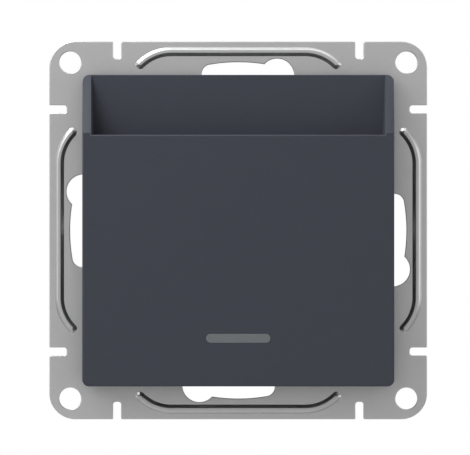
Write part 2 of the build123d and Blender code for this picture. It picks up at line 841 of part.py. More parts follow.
def rear_housing():
    """Insulating box behind the plate with screw posts, switch posts and the terminal block."""
    housing = slab(housing_outline(0), housing_depth, 0)
    rear_edges = housing.faces().sort_by(Axis.Y)[-1].outer_wire().edges()
    housing = fillet(rear_edges, housing_edge_radius)
    housing -= slab(housing_outline(housing_wall), housing_inner_back, -overrun)
    block_half = terminal_pitch + cage_width / 2 + fit_gap + block_wall
    terminal_block = block(-block_half, block_half, block_front, housing_depth - housing_wall / 2,
                           pocket_bottom - block_wall, housing_top - housing_wall / 2)
    housing += terminal_block
    for x in terminal_places.values():
        pocket_half = cage_width / 2 + fit_gap
        housing -= block(x - pocket_half, x + pocket_half, block_front - overrun, cage_back + fit_gap,
                         pocket_bottom, pocket_top)
        housing -= rod_z(terminal_head_radius + fit_gap, head_seat, housing_top + overrun, x, cage_centre)
        housing -= rod_z(terminal_screw_radius + fit_gap, pocket_top - overrun / 2, head_seat + overrun / 2,
                         x, cage_centre)
        wire_middle = strip_level - strip_thickness - wire_size / 2
        entry = Pos(x, wire_middle) * Rectangle(wire_size, wire_size)
        housing -= slab(entry, housing_depth + overrun, cage_back)
        mouth = front_plane(housing_depth) * Pos(x, wire_middle)
        funnel = [mouth * Rectangle(wire_size + wire_funnel * 2, wire_size + wire_funnel * 2),
                  Pos(0, -wire_funnel, 0) * (mouth * Rectangle(wire_size, wire_size))]
        housing -= loft(funnel)
    inner_side = housing_width / 2 - housing_wall / 2
    post = rod_y(post_radius, 0, post_length, carrier_screw_offset, 0)
    post += block(carrier_screw_offset, inner_side, 0, post_length, -post_radius / 2, post_radius / 2)
    post -= rod_y(post_pilot_radius, -overrun, post_length - housing_wall, carrier_screw_offset, 0)
    tip = carrier_front + carrier_screw_length
    post -= rod_y(carrier_screw_radius, -overrun, tip, carrier_screw_offset, 0)
    housing = housing + post + mirrored(post)
    post_top = switch_centre_z - switch_thickness / 2
    hole_y = switch_back - switch_hole_setback
    for side in (-1, 1):
        x = switch_centre_x + side * switch_hole_pitch / 2
        stand = block(x - switch_post_width / 2, x + switch_post_width / 2,
                      hole_y - switch_post_width / 2, housing_depth - housing_wall / 2,
                      post_top - switch_post_thickness, post_top)
        housing += stand - rod_z(switch_screw_radius + running_gap, post_top - switch_screw_grip,
                                 post_top + overrun, x, hole_y)
    return housing


def screw_y(x, z, head_face, radius, length, head_radius, head_height):
    """Screw along Y with its cross-slotted head towards the viewer, seated on head_face."""
    shank = rod_y(radius, head_face, head_face + length, x, z)
    shank = chamfer(shank.faces().sort_by(Axis.Y)[-1].edges(), radius / 4)
    head = rod_y(head_radius, head_face - head_height, head_face, x, z)
    head = chamfer(head.faces().sort_by(Axis.Y)[0].edges(), head_height / 4)
    top = head_face - head_height
    arm = head_radius * 2 / 3
    half = drive_slot_width / 2
    for cross in ((arm, half), (half, arm)):
        head -= block(x - cross[0], x + cross[0], top - overrun, top + drive_slot_depth,
                      z - cross[1], z + cross[1])
    return shank + head


def carrier_screws():
    """Two screws through carrier and plate into the housing's posts."""
    screw = screw_y(carrier_screw_offset, 0, carrier_front, carrier_screw_radius, carrier_screw_length,
                    carrier_screw_head_radius, carrier_screw_head_height)
    return Compound(children=[screw, mirrored(screw)])


def switch_x(offset):
    """X of a place on the microswitch, measured from its middle."""
    return switch_centre_x + offset


def switch_y(depth):
    """Y of a place on the microswitch, measured from its front face."""
    return switch_front + depth


def microswitch_case():
    """Moulded case, open towards the lid, with the plunger's hole and the tabs' slots."""
    low = switch_centre_z - switch_thickness / 2
    lid_seat = lid_top - switch_lid
    half = switch_length / 2
    case = block(switch_x(-half), switch_x(half), switch_front, switch_back, low, lid_seat)
    case -= block(switch_x(switch_wall - half), switch_x(half - switch_wall), switch_y(switch_wall),
                  switch_y(cavity_back), low + switch_wall, lid_seat + overrun)
    plunger_half = plunger_width / 2 + running_gap
    case -= block(-plunger_half, plunger_half, switch_front - overrun, switch_y(switch_wall) + overrun / 4,
                  switch_centre_z - plunger_height / 2 - running_gap,
                  switch_centre_z + plunger_height / 2 + running_gap)
    for x in tab_places().values():
        case -= block(x - tab_thickness / 2 - running_gap, x + tab_thickness / 2 + running_gap,
                      switch_y(cavity_back) - running_gap, switch_back + overrun,
                      switch_centre_z - tab_width / 2 - running_gap,
                      switch_centre_z + tab_width / 2 + running_gap)
    for side in (-1, 1):
        case -= rod_z(switch_screw_radius + running_gap, low - overrun, lid_seat + overrun,
                      switch_x(side * switch_hole_pitch / 2), switch_back - switch_hole_setback)
    return case


def microswitch_lid():
    """Flat lid over the case, with the two screw holes."""
    half = switch_length / 2
    lid = block(switch_x(-half), switch_x(half), switch_front, switch_back, lid_top - switch_lid, lid_top)
    for side in (-1, 1):
        lid -= rod_z(switch_screw_radius + running_gap, lid_top - switch_lid - overrun, lid_top + overrun,
                     switch_x(side * switch_hole_pitch / 2), switch_back - switch_hole_setback)
    return lid


def switch_screws():
    """Two small screws that hold the microswitch to the housing's posts."""
    screws = []
    for side in (-1, 1):
        x = switch_x(side * switch_hole_pitch / 2)
        y = switch_back - switch_hole_setback
        low = switch_centre_z - switch_thickness / 2 - switch_screw_grip
        head = rod_z(switch_screw_head_radius, lid_top, lid_top + switch_screw_head_height, x, y)
        head = chamfer(head.faces().sort_by(Axis.Z)[-1].edges(), switch_screw_head_height / 4)
        slot_half = drive_slot_width / 2
        slot_low = lid_top + switch_screw_head_height / 2
        head -= block(x - overrun, x + overrun, y - slot_half, y + slot_half, slot_low, slot_low + overrun)
        screws.append(rod_z(switch_screw_radius, low, lid_top, x, y) + head)
    return Compound(children=screws)


def microswitch_plunger():
    """Plunger through the case's front wall, with a rounded tip and a shoulder inside."""
    inner = blade_y - blade_thickness / 2 - push_gap
    shank = block(-plunger_width / 2, plunger_width / 2, plunger_tip, inner,
                  switch_centre_z - plunger_height / 2, switch_centre_z + plunger_height / 2)
    tip_edges = shank.faces().sort_by(Axis.Y)[0].edges().filter_by(Axis.X)
    return fillet(tip_edges, plunger_height / 6)


def tab_places():
    """X of the three tabs: common at one end, made contact in the middle, rest contact at the other."""
    end = switch_length / 2 - switch_wall - tab_thickness / 2
    return {"common": switch_x(-end), "made": switch_x(0), "rest": switch_x(end)}


def common_tab():
    """Common tab with the socket that the blade's eye turns in."""
    x = tab_places()["common"]
    root_x = switch_x(-blade_root)
    left = x - tab_thickness / 2
    socket = between(left, root_x + socket_mouth / 2, blade_y - socket_size / 2, blade_y + socket_size / 2)
    socket -= Pos(root_x, blade_y) * Circle(blade_eye_radius + running_gap)
    socket -= between(root_x, root_x + overrun, blade_y - socket_mouth / 2, blade_y + socket_mouth / 2)
    socket += between(left, left + tab_thickness, blade_y, tab_end)
    socket -= Pos(root_x, blade_y) * Circle(blade_eye_radius + running_gap)
    return column(socket, switch_centre_z - tab_width / 2, switch_centre_z + tab_width / 2)


def contact_blade():
    """Moving blade with a rolled eye at its root and a contact rivet at its end."""
    root_x = switch_x(-blade_root)
    plan = Pos(root_x, blade_y) * Circle(blade_eye_radius)
    half = blade_thickness / 2
    plan += between(root_x, switch_x(blade_reach), blade_y - half, blade_y + half)
    blade = column(plan, switch_centre_z - blade_width / 2, switch_centre_z + blade_width / 2)
    return blade + rod_y(contact_radius, blade_y - contact_height, blade_y + contact_height,
                         switch_x(contact_offset), switch_centre_z)


def rest_contact():
    """Fixed contact that the blade rests on, with its strip along the front and side walls."""
    x = tab_places()["rest"]
    right = x + tab_thickness / 2
    front = switch_y(switch_wall)
    plan = between(switch_x(contact_offset - contact_radius), right, front, front + tab_thickness)
    plan += between(right - tab_thickness, right, front, tab_end)
    strip = column(plan, switch_centre_z - tab_width / 2, switch_centre_z + tab_width / 2)
    return strip + rod_y(contact_radius, front, blade_y - contact_height - push_gap,
                         switch_x(contact_offset), switch_centre_z)


def made_contact():
    """Fixed contact that the blade closes on, with its strip along the back wall."""
    x = tab_places()["made"]
    back = switch_y(cavity_back)
    left = x - tab_thickness / 2
    plan = between(left, switch_x(contact_offset + contact_radius), back - tab_thickness, back)
    plan += between(left, left + tab_thickness, back - tab_thickness, tab_end)
    strip = column(plan, switch_centre_z - tab_width / 2, switch_centre_z + tab_width / 2)
    swing = math.radians(blade_swing)
    reached = blade_y + (blade_root + contact_offset) * math.sin(swing)
    face = reached + contact_height * math.cos(swing) + contact_radius * math.sin(swing) + push_gap
    return strip + rod_y(contact_radius, face, back, switch_x(contact_offset), switch_centre_z)


def brass_strip(x, leg_end):
    """Strip from a clamp down to the switch or the board pin: a flat tab and a leg, bent square."""
    leg_front = tab_end
    leg_back = tab_end + strip_thickness
    leg = block(x - strip_leg_width / 2, x + strip_leg_width / 2, leg_front, leg_back, leg_end, strip_level)
    tab = block(x - strip_tab_width / 2, x + strip_tab_width / 2, leg_front, cage_back,
                strip_level - strip_thickness, strip_level)
    return leg + tab


def terminal_cage(x):
    """Lift clamp: an open loop of plated steel with a threaded top."""
    outer = Pos(x, (cage_rest_top + cage_rest_bottom) / 2) * RectangleRounded(
        cage_width, cage_height, cage_side / 2)
    inner_low = cage_rest_bottom + cage_floor
    inner_high = cage_rest_top - cage_top
    inner = between(x - cage_width / 2 + cage_side, x + cage_width / 2 - cage_side, inner_low, inner_high)
    cage = slab(outer - inner, cage_back, cage_front)
    return cage - rod_z(terminal_screw_radius + running_gap, inner_high - overrun / 4,
                        cage_rest_top + overrun, x, cage_centre)


def terminal_screw(x):
    """Slotted terminal screw, captive under the housing's top edge."""
    tip = strip_level + push_gap
    shank = rod_z(terminal_screw_radius, tip, head_seat, x, cage_centre)
    shank = chamfer(shank.faces().sort_by(Axis.Z)[0].edges(), terminal_screw_radius / 4)
    head_top = head_seat + terminal_head_height
    head = rod_z(terminal_head_radius, head_seat, head_top, x, cage_centre)
    head = chamfer(head.faces().sort_by(Axis.Z)[-1].edges(), terminal_head_height / 6)
    half = drive_slot_width / 2
    head -= block(x - overrun, x + overrun, cage_centre - half, cage_centre + half,
                  head_top - drive_slot_depth, head_top + overrun)
    return shank + head


def claw():
    """Right-hand spreading claw: web, two cheeks with ramps, pivot eyes and teeth."""
    web_inner = claw_web_face - claw_web
    eye = Pos(claw_pin_offset, claw_pin_depth) * Circle(claw_eye_radius)
    cheek = polygon(
        (claw_pin_offset, claw_pin_depth), (ramp_foot_x, ramp_foot_y), (ramp_head_x, ramp_head_y),
        (ramp_head_x, claw_length), (claw_web_face, claw_length), (claw_web_face, claw_pin_depth)
    ) + eye
    half = claw_width / 2
    web_front = claw_pin_depth + claw_eye_radius
    body = block(web_inner, claw_web_face, web_front, claw_length, -half, half)
    for low in (-half, half - claw_cheek):
        body += column(cheek, low, low + claw_cheek)
    for index in range(tooth_count):
        middle = (index - (tooth_count - 1) / 2) * tooth_pitch
        tooth = polygon(
            (claw_web_face, middle - tooth_pitch / 2), (claw_web_face + tooth_height, middle),
            (claw_web_face, middle + tooth_pitch / 2)
        )
        body += extrude(front_plane(claw_length) * tooth, amount=claw_web)
    bore = rod_z(claw_pin_radius + running_gap, -overrun - half, overrun + half,
                 claw_pin_offset, claw_pin_depth)
    return body - bore


def claw_pin():
    """Right-hand pivot pin through the plate's ears and the claw's eyes."""
    reach = claw_width / 2 + fit_gap + claw_ear_thickness
    return rod_z(claw_pin_radius, -reach, reach, claw_pin_offset, claw_pin_depth)


def ramp_x(y):
    """X of the claw's ramp at depth y, with the claw closed."""
    share = (y - ramp_foot_y) / (ramp_head_y - ramp_foot_y)
    return ramp_foot_x + (ramp_head_x - ramp_foot_x) * share


def claw_nut():
    """Right-hand wedge nut: a core between the claw's cheeks and two ears on their ramps."""
    inner = housing_width / 2 + loose_gap
    core_half = claw_width / 2 - claw_cheek - fit_gap
    body = block(inner, nut_core_face, nut_centre - nut_length / 2, nut_centre + nut_length / 2,
                 -core_half, core_half)
    ear_low = nut_centre - nut_ear_length / 2
    ear_high = nut_centre + nut_ear_length / 2
    ear = polygon(
        (inner, ear_low), (ramp_x(ear_low) - fit_gap, ear_low), (ramp_x(ear_high) - fit_gap, ear_high),
        (inner, ear_high)
    )
    body += column(ear, -claw_width / 2, claw_width / 2)
    return body - rod_y(claw_screw_radius + running_gap, nut_centre - nut_length, nut_centre + nut_length,
                        claw_screw_offset, 0)


def claw_screw():
    """Right-hand claw screw with its head on the plate's front."""
    return screw_y(claw_screw_offset, 0, plate_front, claw_screw_radius, claw_screw_length,
                   claw_head_radius, claw_head_height)


def all_parts():
    """Every node by name."""
    parts = {
        "mounting_plate": mounting_plate(),
        "front_cover": front_cover(),
        "cover_tray": cover_tray(),
        "light_guide": light_guide(),
        "switch_carrier": switch_carrier(),
        "card_lever": card_lever(),
        "lever_pin": lever_pin(),
        "lever_spring": lever_spring(),
        "indicator_board": indicator_board(),
        "indicator_lamp": indicator_lamp(),
        "series_resistor": axial_part(resistor_radius, resistor_length, -component_offset),
        "blocking_diode": axial_part(diode_radius, diode_length, component_offset),
        "board_pin_live": board_pin(-board_pin_offset),
        "board_pin_neutral": board_pin(board_pin_offset),
        "rear_housing": rear_housing(),
        "carrier_screws": carrier_screws(),
        "microswitch_case": microswitch_case(),
        "microswitch_lid": microswitch_lid(),
        "microswitch_plunger": microswitch_plunger(),
        "switch_screws": switch_screws(),
        "common_tab": common_tab(),
        "contact_blade": contact_blade(),
        "rest_contact": rest_contact(),
        "made_contact": made_contact(),
    }
    strip_ends = {"live": strip_long_end, "load": strip_short_end, "neutral": strip_long_end}
    for name, x in terminal_places.items():
        parts["strip_" + name] = brass_strip(x, strip_ends[name])
        parts["terminal_cage_" + name] = terminal_cage(x)
        parts["terminal_screw_" + name] = terminal_screw(x)
    for name, maker in (("claw", claw), ("claw_pin", claw_pin), ("claw_nut", claw_nut),
                        ("claw_screw", claw_screw)):
        right = maker()
        parts[name + "_right"] = right
        parts[name + "_left"] = mirrored(right)
    return parts


os.makedirs("parts", exist_ok=True)
for node, shape in all_parts().items():
    export_step(shape, "parts/" + node + ".step")
print("least gap between turns of the lever spring, mm:", round(spring_gap(), 3))
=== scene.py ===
import json
import logging
import math
from contextlib import contextmanager
from dataclasses import dataclass
from enum import Enum
from typing import Iterator, Protocol, Sequence, Union

import bmesh
import bpy
from mathutils import Matrix, Vector


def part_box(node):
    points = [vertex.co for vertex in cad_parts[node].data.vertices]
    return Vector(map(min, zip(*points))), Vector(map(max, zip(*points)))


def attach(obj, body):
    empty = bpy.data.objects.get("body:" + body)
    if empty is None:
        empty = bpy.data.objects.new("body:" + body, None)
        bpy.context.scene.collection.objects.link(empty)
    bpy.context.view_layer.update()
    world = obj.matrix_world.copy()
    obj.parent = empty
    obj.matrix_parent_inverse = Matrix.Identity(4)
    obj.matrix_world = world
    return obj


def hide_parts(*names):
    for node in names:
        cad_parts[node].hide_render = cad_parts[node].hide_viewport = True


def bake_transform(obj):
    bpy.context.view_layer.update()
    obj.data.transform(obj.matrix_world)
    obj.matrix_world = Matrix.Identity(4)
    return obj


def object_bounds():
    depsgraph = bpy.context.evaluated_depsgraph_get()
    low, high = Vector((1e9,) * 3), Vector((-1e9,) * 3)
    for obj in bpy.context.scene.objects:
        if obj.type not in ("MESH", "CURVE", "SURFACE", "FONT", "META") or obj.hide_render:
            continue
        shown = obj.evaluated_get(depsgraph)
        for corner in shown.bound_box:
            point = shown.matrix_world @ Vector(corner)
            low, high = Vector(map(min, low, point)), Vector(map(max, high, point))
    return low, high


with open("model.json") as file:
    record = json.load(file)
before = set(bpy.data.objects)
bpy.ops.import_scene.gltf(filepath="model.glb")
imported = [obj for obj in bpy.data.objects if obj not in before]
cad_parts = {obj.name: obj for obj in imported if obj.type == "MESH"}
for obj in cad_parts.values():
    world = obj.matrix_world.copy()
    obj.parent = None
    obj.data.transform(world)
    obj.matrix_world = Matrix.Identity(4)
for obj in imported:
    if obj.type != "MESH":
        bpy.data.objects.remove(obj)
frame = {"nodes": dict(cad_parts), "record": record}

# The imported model's own box, before any piece is dressed
CAD_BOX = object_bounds()

# Lengths in metres, and turns in radians
MM = 0.001
MICRON = 0.000001
FULL_TURN = 2 * math.pi
QUARTER_TURN = math.radians(90)
QUARTERS = 4

# Faces that meet at more than this angle, in degrees, keep a crease between them
CREASE_ANGLE = 50.0

# Edges sharper than this angle, in degrees, are rounded, with so many faces across
ROUNDED_ANGLE = 35.0
ROUNDING_FACES = 3
LONG_EDGE_FACES = 2

# Faces across the rounded rim of a stamped sheet, beside the one of a plain chamfer
EXTRA_RIM_FACES = 2

# Packed faces that meet at less than this angle, in degrees, count as one flat face
FLAT_ANGLE = 0.4

# Share of a corner's largest face in its averaged normal, where 50 is neutral
LARGEST_FACE_WEIGHT = 100

# The plate's middle, as X and Z
MIDDLE = (0.0, 0.0)

# Greatest angle between points along an arc, in degrees, where no other is asked
ARC_STEP = 6.0

WHITE = (1.0, 1.0, 1.0, 1.0)

# Blender's numbers for a colour Mix node's sockets
MIX_FIRST = 6
MIX_SECOND = 7
MIX_RESULT = 2

# The photograph's frame, and where the object lies in it, in pixels
FRAME_WIDTH_PX = 470
FRAME_HEIGHT_PX = 455
PLATE_WIDTH_PX = 377.56
CENTRE_X_PX = 238.25
CENTRE_Y_PX = 230.38

RECORD = frame["record"]
BODY_OF = {node: body for body, nodes in RECORD["behaviour"]["bodies"].items() for node in nodes}
SLOT_OF = {part["node"]: part["material_slot"] for part in RECORD["subparts"]}

log = logging.getLogger("key_card_switch")

Socket = bpy.types.NodeSocket
Value = Union[float, int, Sequence[float], Socket]
Point = tuple[float, float, float]
FlatPoint = tuple[float, float]
Outline = list[FlatPoint]
Colour = tuple[float, float, float]
Bands = tuple[tuple[float, Colour], ...]


class Finish(Protocol):
    """What every finish has: a name, and a material that it builds."""

    name: str

    def build(self) -> bpy.types.Material:
        """Make the material."""


class Graph:
    """A node tree with short calls that add nodes and join them."""

    def __init__(self, tree: bpy.types.NodeTree) -> None:
        """Take over a node tree.

        Args:
            tree: the shader or geometry tree to fill.
        """
        self.tree = tree

    def add(self, kind: str, inputs: dict[Union[str, int], Value] | None = None,
            **settings: object) -> bpy.types.Node:
        """Add a node and set or join its inputs.

        Args:
            kind: Blender's name of the node type.
            inputs: value or output socket for each input, by name or index.
            settings: attributes of the node itself.

        Returns:
            The new node.
        """
        node = self.tree.nodes.new(kind)
        for name, setting in settings.items():
            setattr(node, name, setting)
        for key, value in (inputs or {}).items():
            self.feed(node.inputs[key], value)
        return node

    def feed(self, entry: Socket, value: Value) -> None:
        """Join an input to a socket, or set the input's own value.

        Args:
            entry: the input.
            value: the socket or the value.
        """
        if isinstance(value, Socket):
            self.tree.links.new(value, entry)
        else:
            entry.default_value = value

    def math(self, operation: str, *values: Value) -> Socket:
        """Add a Math node.

        Args:
            operation: the node's operation.
            values: up to three numbers or sockets.

        Returns:
            The result's socket.
        """
        kind = "ShaderNodeMath"
        return self.add(kind, dict(enumerate(values)), operation=operation).outputs[0]

    def chain(self, operation: str, first: Value, *others: Value) -> Socket:
        """Join any number of values by one operation of the Math node.

        Args:
            operation: the node's operation.
            first: number or socket to start from.
            others: numbers or sockets that follow, in order.

        Returns:
            The result's socket.
        """
        result = first
        for value in others:
            result = self.math(operation, result, value)
        return result

    def plus(self, *values: Value) -> Socket:
        """The sum of the values."""
        return self.chain("ADD", *values)

    def times(self, *values: Value) -> Socket:
        """The product of the values."""
        return self.chain("MULTIPLY", *values)

    def least(self, *values: Value) -> Socket:
        """The lowest of the values."""
        return self.chain("MINIMUM", *values)

    def most(self, *values: Value) -> Socket:
        """The highest of the values."""
        return self.chain("MAXIMUM", *values)

    def minus(self, value: Value, less: Value) -> Socket:
        """The first value less the second."""
        return self.math("SUBTRACT", value, less)

    def over(self, value: Value, divisor: Value) -> Socket:
        """The first value divided by the second."""
        return self.math("DIVIDE", value, divisor)

    def vector(self, x: Value = 0.0, y: Value = 0.0, z: Value = 0.0) -> Socket:
        """A vector of three numbers or sockets."""
        return self.add("ShaderNodeCombineXYZ", {0: x, 1: y, 2: z}).outputs[0]

    def axes(self, vector: Socket) -> bpy.types.NodeOutputs:
        """The X, Y and Z sockets of a vector."""
        return self.add("ShaderNodeSeparateXYZ", {0: vector}).outputs

    def ramp(self, factor: Socket, low: float, high: float) -> Socket:
        """Spread a factor of 0 to 1 between two values.

        Args:
            factor: the socket to spread.
            low: result at 0.
            high: result at 1.

        Returns:
            The result's socket.
        """
        inputs = {"Value": factor, "To Min": low, "To Max": high}
        return self.add("ShaderNodeMapRange", inputs).outputs["Result"]

    def spread(self, factor: Socket, middle: float, reach: float) -> Socket:
        """A factor of 0 to 1 spread as far below a value as above it."""
        return self.ramp(factor, middle - reach, middle + reach)


class SurfaceGraph(Graph):
    """A material's node tree, with the textures that this object's finishes share."""

    def __init__(self, name: str) -> None:
        """Make a new material with a Principled shader.

        Args:
            name: the material's name.
        """
        self.material = bpy.data.materials.new(name)
        self.material.use_nodes = True
        super().__init__(self.material.node_tree)
        self.shader = self.tree.nodes["Principled BSDF"]
        self.place = self.add("ShaderNodeTexCoord").outputs["Object"]

    def set(self, **values: Value) -> None:
        """Set or join the shader's own sockets.

        Args:
            values: number, colour or socket for each input, its spaces written as underscores.
        """
        for name, value in values.items():
            self.feed(self.shader.inputs[name.replace("_", " ")], value)

    def noise(self, cell: float, detail: float = 2.0,
              stretch: Sequence[float] = (1.0, 1.0, 1.0)) -> Socket:
        """Noise over Object coordinates.

        Args:
            cell: size of a cell in metres.
            detail: number of finer octaves.
            stretch: how much longer a cell is along X, Y and Z.

        Returns:
            The noise's factor socket.
        """
        scale = tuple(1 / share for share in stretch)
        place = self.add("ShaderNodeMapping", {"Vector": self.place, "Scale": scale}).outputs[0]
        inputs = {"Vector": place, "Scale": 1 / cell, "Detail": detail}
        return self.add("ShaderNodeTexNoise", inputs).outputs["Fac"]

    def two_tones(self, factor: Socket, first: Sequence[float], second: Sequence[float]) -> Socket:
        """Blend two colours.

        Args:
            factor: blend from 0 for the first colour to 1 for the second.
            first: linear red, green and blue.
            second: linear red, green and blue.

        Returns:
            The colour's socket.
        """
        inputs = {"Factor": factor, MIX_FIRST: (*first, 1.0), MIX_SECOND: (*second, 1.0)}
        return self.add("ShaderNodeMix", inputs, data_type="RGBA").outputs[MIX_RESULT]

    def bump(self, height: Socket, depth: float) -> None:
        """Feed a height to the shader's normal.

        Args:
            height: the height's socket, 0 to 1.
            depth: height of 1 in metres.
        """
        node = self.add("ShaderNodeBump", {"Height": height, "Distance": depth})
        self.set(Normal=node.outputs["Normal"])


class ShapeGraph(Graph):
    """A Geometry Nodes tree with named inputs, grown into a plain mesh."""

    def __init__(self, name: str, **sizes: float) -> None:
        """Make the tree and its inputs.

        Args:
            name: name of the tree and of what it grows.
            sizes: value of each input; whole numbers make whole-number inputs.
        """
        super().__init__(bpy.data.node_groups.new(name, "GeometryNodeTree"))
        self.name = name
        self.sizes = sizes
        self.tree.interface.new_socket("Geometry", in_out="OUTPUT", socket_type="NodeSocketGeometry")
        self.keys: dict[str, str] = {}
        for size, value in sizes.items():
            kind = "NodeSocketInt" if isinstance(value, int) else "NodeSocketFloat"
            socket = self.tree.interface.new_socket(size, in_out="INPUT", socket_type=kind)
            self.keys[size] = socket.identifier
        self.entry = self.add("NodeGroupInput").outputs

    def position(self) -> bpy.types.NodeOutputs:
        """The X, Y and Z sockets of each point's place."""
        return self.axes(self.add("GeometryNodeInputPosition").outputs[0])

    def placed(self, geometry: Socket, spot: Socket) -> Socket:
        """The geometry with each point put at its new place."""
        return self.add("GeometryNodeSetPosition", {"Geometry": geometry, "Position": spot}).outputs[0]

    def copies(self, spots: Socket, geometry: Socket, turn: Value) -> Socket:
        """Put a copy of the geometry on each point.

        Args:
            spots: the points.
            geometry: what is copied.
            turn: each copy's turns about X, Y and Z.

        Returns:
            The copies.
        """
        turned_by = self.add("FunctionNodeEulerToRotation", {0: turn}).outputs[0]
        inputs = {"Points": spots, "Instance": geometry, "Rotation": turned_by}
        return self.add("GeometryNodeInstanceOnPoints", inputs).outputs[0]

    def grow(self, geometry: Socket, material: bpy.types.Material) -> bpy.types.Object:
        """Close the tree and turn it into an object with a plain mesh.

        Args:
            geometry: the socket with the finished shape.
            material: what it is made of.

        Returns:
            The new object.
        """
        whole = self.add("GeometryNodeRealizeInstances", {0: geometry}).outputs[0]
        clad = self.add("GeometryNodeSetMaterial", {"Geometry": whole, "Material": material}).outputs[0]
        self.add("NodeGroupOutput", {0: clad})
        thing = link_object(self.name, bpy.data.meshes.new(self.name))
        modifier = thing.modifiers.new(self.name, "NODES")
        modifier.node_group = self.tree
        for size, value in self.sizes.items():
            modifier[self.keys[size]] = value
        return freeze(thing)


def shade(colour: Sequence[float], share: float) -> Colour:
    """The colour made lighter or darker by a share."""
    return tuple(channel * share for channel in colour)


@dataclass(frozen=True)
class Moulding:
    """Moulded plastic with a fine spark-eroded texture."""

    name: str
    colour: Colour
    roughness: float = 0.5
    specular: float = 0.5
    texture_cell: float = 0.16 * MM
    texture_depth: float = 6 * MICRON
    tone: float = 0.06
    cloud_cell: float = 4 * MM
    roughness_spread: float = 0.06

    def build(self) -> bpy.types.Material:
        """Make the material.

        Returns:
            The material.
        """
        graph = SurfaceGraph(self.name)
        cloud = graph.noise(self.cloud_cell, detail=3.0)
        grain = graph.noise(self.texture_cell)
        darker, lighter = shade(self.colour, 1 - self.tone), shade(self.colour, 1 + self.tone)
        graph.set(
            Base_Color=graph.two_tones(cloud, darker, lighter),
            Roughness=graph.spread(grain, self.roughness, self.roughness_spread),
            Specular_IOR_Level=self.specular,
        )
        graph.bump(grain, self.texture_depth)
        return graph.material


@dataclass(frozen=True)
class PlatedMetal:
    """Rolled or turned metal with a plated finish."""

    name: str
    colour: Colour
    roughness: float = 0.35
    rolled: tuple[float, float, float] = (1.0, 1.0, 1.0)
    grain_cell: float = 0.12 * MM
    grain_depth: float = 2 * MICRON
    tone: float = 0.05
    stain: Colour | None = None
    cloud_cell: float = 3.2 * MM
    roughness_spread: float = 0.07

    def build(self) -> bpy.types.Material:
        """Make the material.

        Returns:
            The material.
        """
        graph = SurfaceGraph(self.name)
        cloud = graph.noise(self.cloud_cell, detail=4.0)
        grain = graph.noise(self.grain_cell, detail=3.0, stretch=self.rolled)
        second = self.stain or shade(self.colour, 1 + self.tone)
        graph.set(
            Base_Color=graph.two_tones(cloud, shade(self.colour, 1 - self.tone), second),
            Metallic=1.0,
            Roughness=graph.spread(grain, self.roughness, self.roughness_spread),
        )
        graph.bump(grain, self.grain_depth)
        return graph.material


@dataclass(frozen=True)
class SmokyWindow:
    """Translucent grey plastic with a polished face."""

    name: str
    colour: Colour
    roughness: float = 0.22
    specular: float = 0.4
    tone: float = 0.05
    cloud_cell: float = 1.5 * MM
    ripple_cell: float = 0.8 * MM
    ripple_depth: float = 4 * MICRON
    roughness_spread: float = 0.04
    scatter: float = 0.15
    scatter_reach: float = 0.6 * MM

    def build(self) -> bpy.types.Material:
        """Make the material.

        Returns:
            The material.
        """
        graph = SurfaceGraph(self.name)
        cloud = graph.noise(self.cloud_cell)
        ripple = graph.noise(self.ripple_cell, detail=1.0)
        darker, lighter = shade(self.colour, 1 - self.tone), shade(self.colour, 1 + self.tone)
        graph.set(
            Base_Color=graph.two_tones(cloud, darker, lighter),
            Roughness=graph.spread(ripple, self.roughness, self.roughness_spread),
            Specular_IOR_Level=self.specular,
            Subsurface_Weight=self.scatter,
            Subsurface_Radius=(self.scatter_reach, self.scatter_reach, self.scatter_reach),
            Subsurface_Scale=1.0,
        )
        graph.bump(ripple, self.ripple_depth)
        return graph.material


@dataclass(frozen=True)
class BandedBody:
    """Lacquered component body with colour bands square to its length along X."""

    name: str
    colour: Colour
    middle: float
    length: float
    bands: Bands
    band_share: float = 0.09
    roughness: float = 0.3
    roughness_spread: float = 0.05
    ripple_cell: float = 0.5 * MM
    ripple_depth: float = 6 * MICRON

    def build(self) -> bpy.types.Material:
        """Make the material.

        Returns:
            The material.
        """
        graph = SurfaceGraph(self.name)
        start = self.middle - self.length / 2
        share = graph.over(graph.minus(graph.axes(graph.place)["X"], start), self.length)
        node = graph.add("ShaderNodeValToRGB", {"Fac": share})
        node.color_ramp.interpolation = "CONSTANT"
        stops = [(0.0, self.colour)]
        for place, tint in self.bands:
            stops += [(place, tint), (place + self.band_share, self.colour)]
        while len(node.color_ramp.elements) < len(stops):
            node.color_ramp.elements.new(1.0)
        for element, (place, tint) in zip(node.color_ramp.elements, stops):
            element.position = place
            element.color = (*tint, 1.0)
        ripple = graph.noise(self.ripple_cell)
        graph.set(Base_Color=node.outputs["Color"],
                  Roughness=graph.spread(ripple, self.roughness, self.roughness_spread))
        graph.bump(ripple, self.ripple_depth)
        return graph.material


@dataclass(frozen=True)
class SolderMask:
    """Circuit board lacquer over straight copper tracks."""

    name: str
    colour: Colour
    track_pitch: float = 1.9 * MM
    track_sine: float = 0.55
    track_light: tuple[float, float] = (0.35, 0.6)
    track_tone: float = 2.2
    track_height: float = 15 * MICRON
    weave_cell: float = 0.3 * MM
    roughness: tuple[float, float] = (0.22, 0.34)

    def build(self) -> bpy.types.Material:
        """Make the material.

        Returns:
            The material.
        """
        graph = SurfaceGraph(self.name)
        turn = graph.times(graph.axes(graph.place)["Z"], FULL_TURN / self.track_pitch)
        track = graph.math("GREATER_THAN", graph.math("SINE", turn), self.track_sine)
        weave = graph.noise(self.weave_cell)
        light = graph.times(track, graph.ramp(weave, *self.track_light))
        graph.set(
            Base_Color=graph.two_tones(light, self.colour, shade(self.colour, self.track_tone)),
            Roughness=graph.ramp(weave, *self.roughness),
        )
        graph.bump(graph.plus(track, weave), self.track_height)
        return graph.material


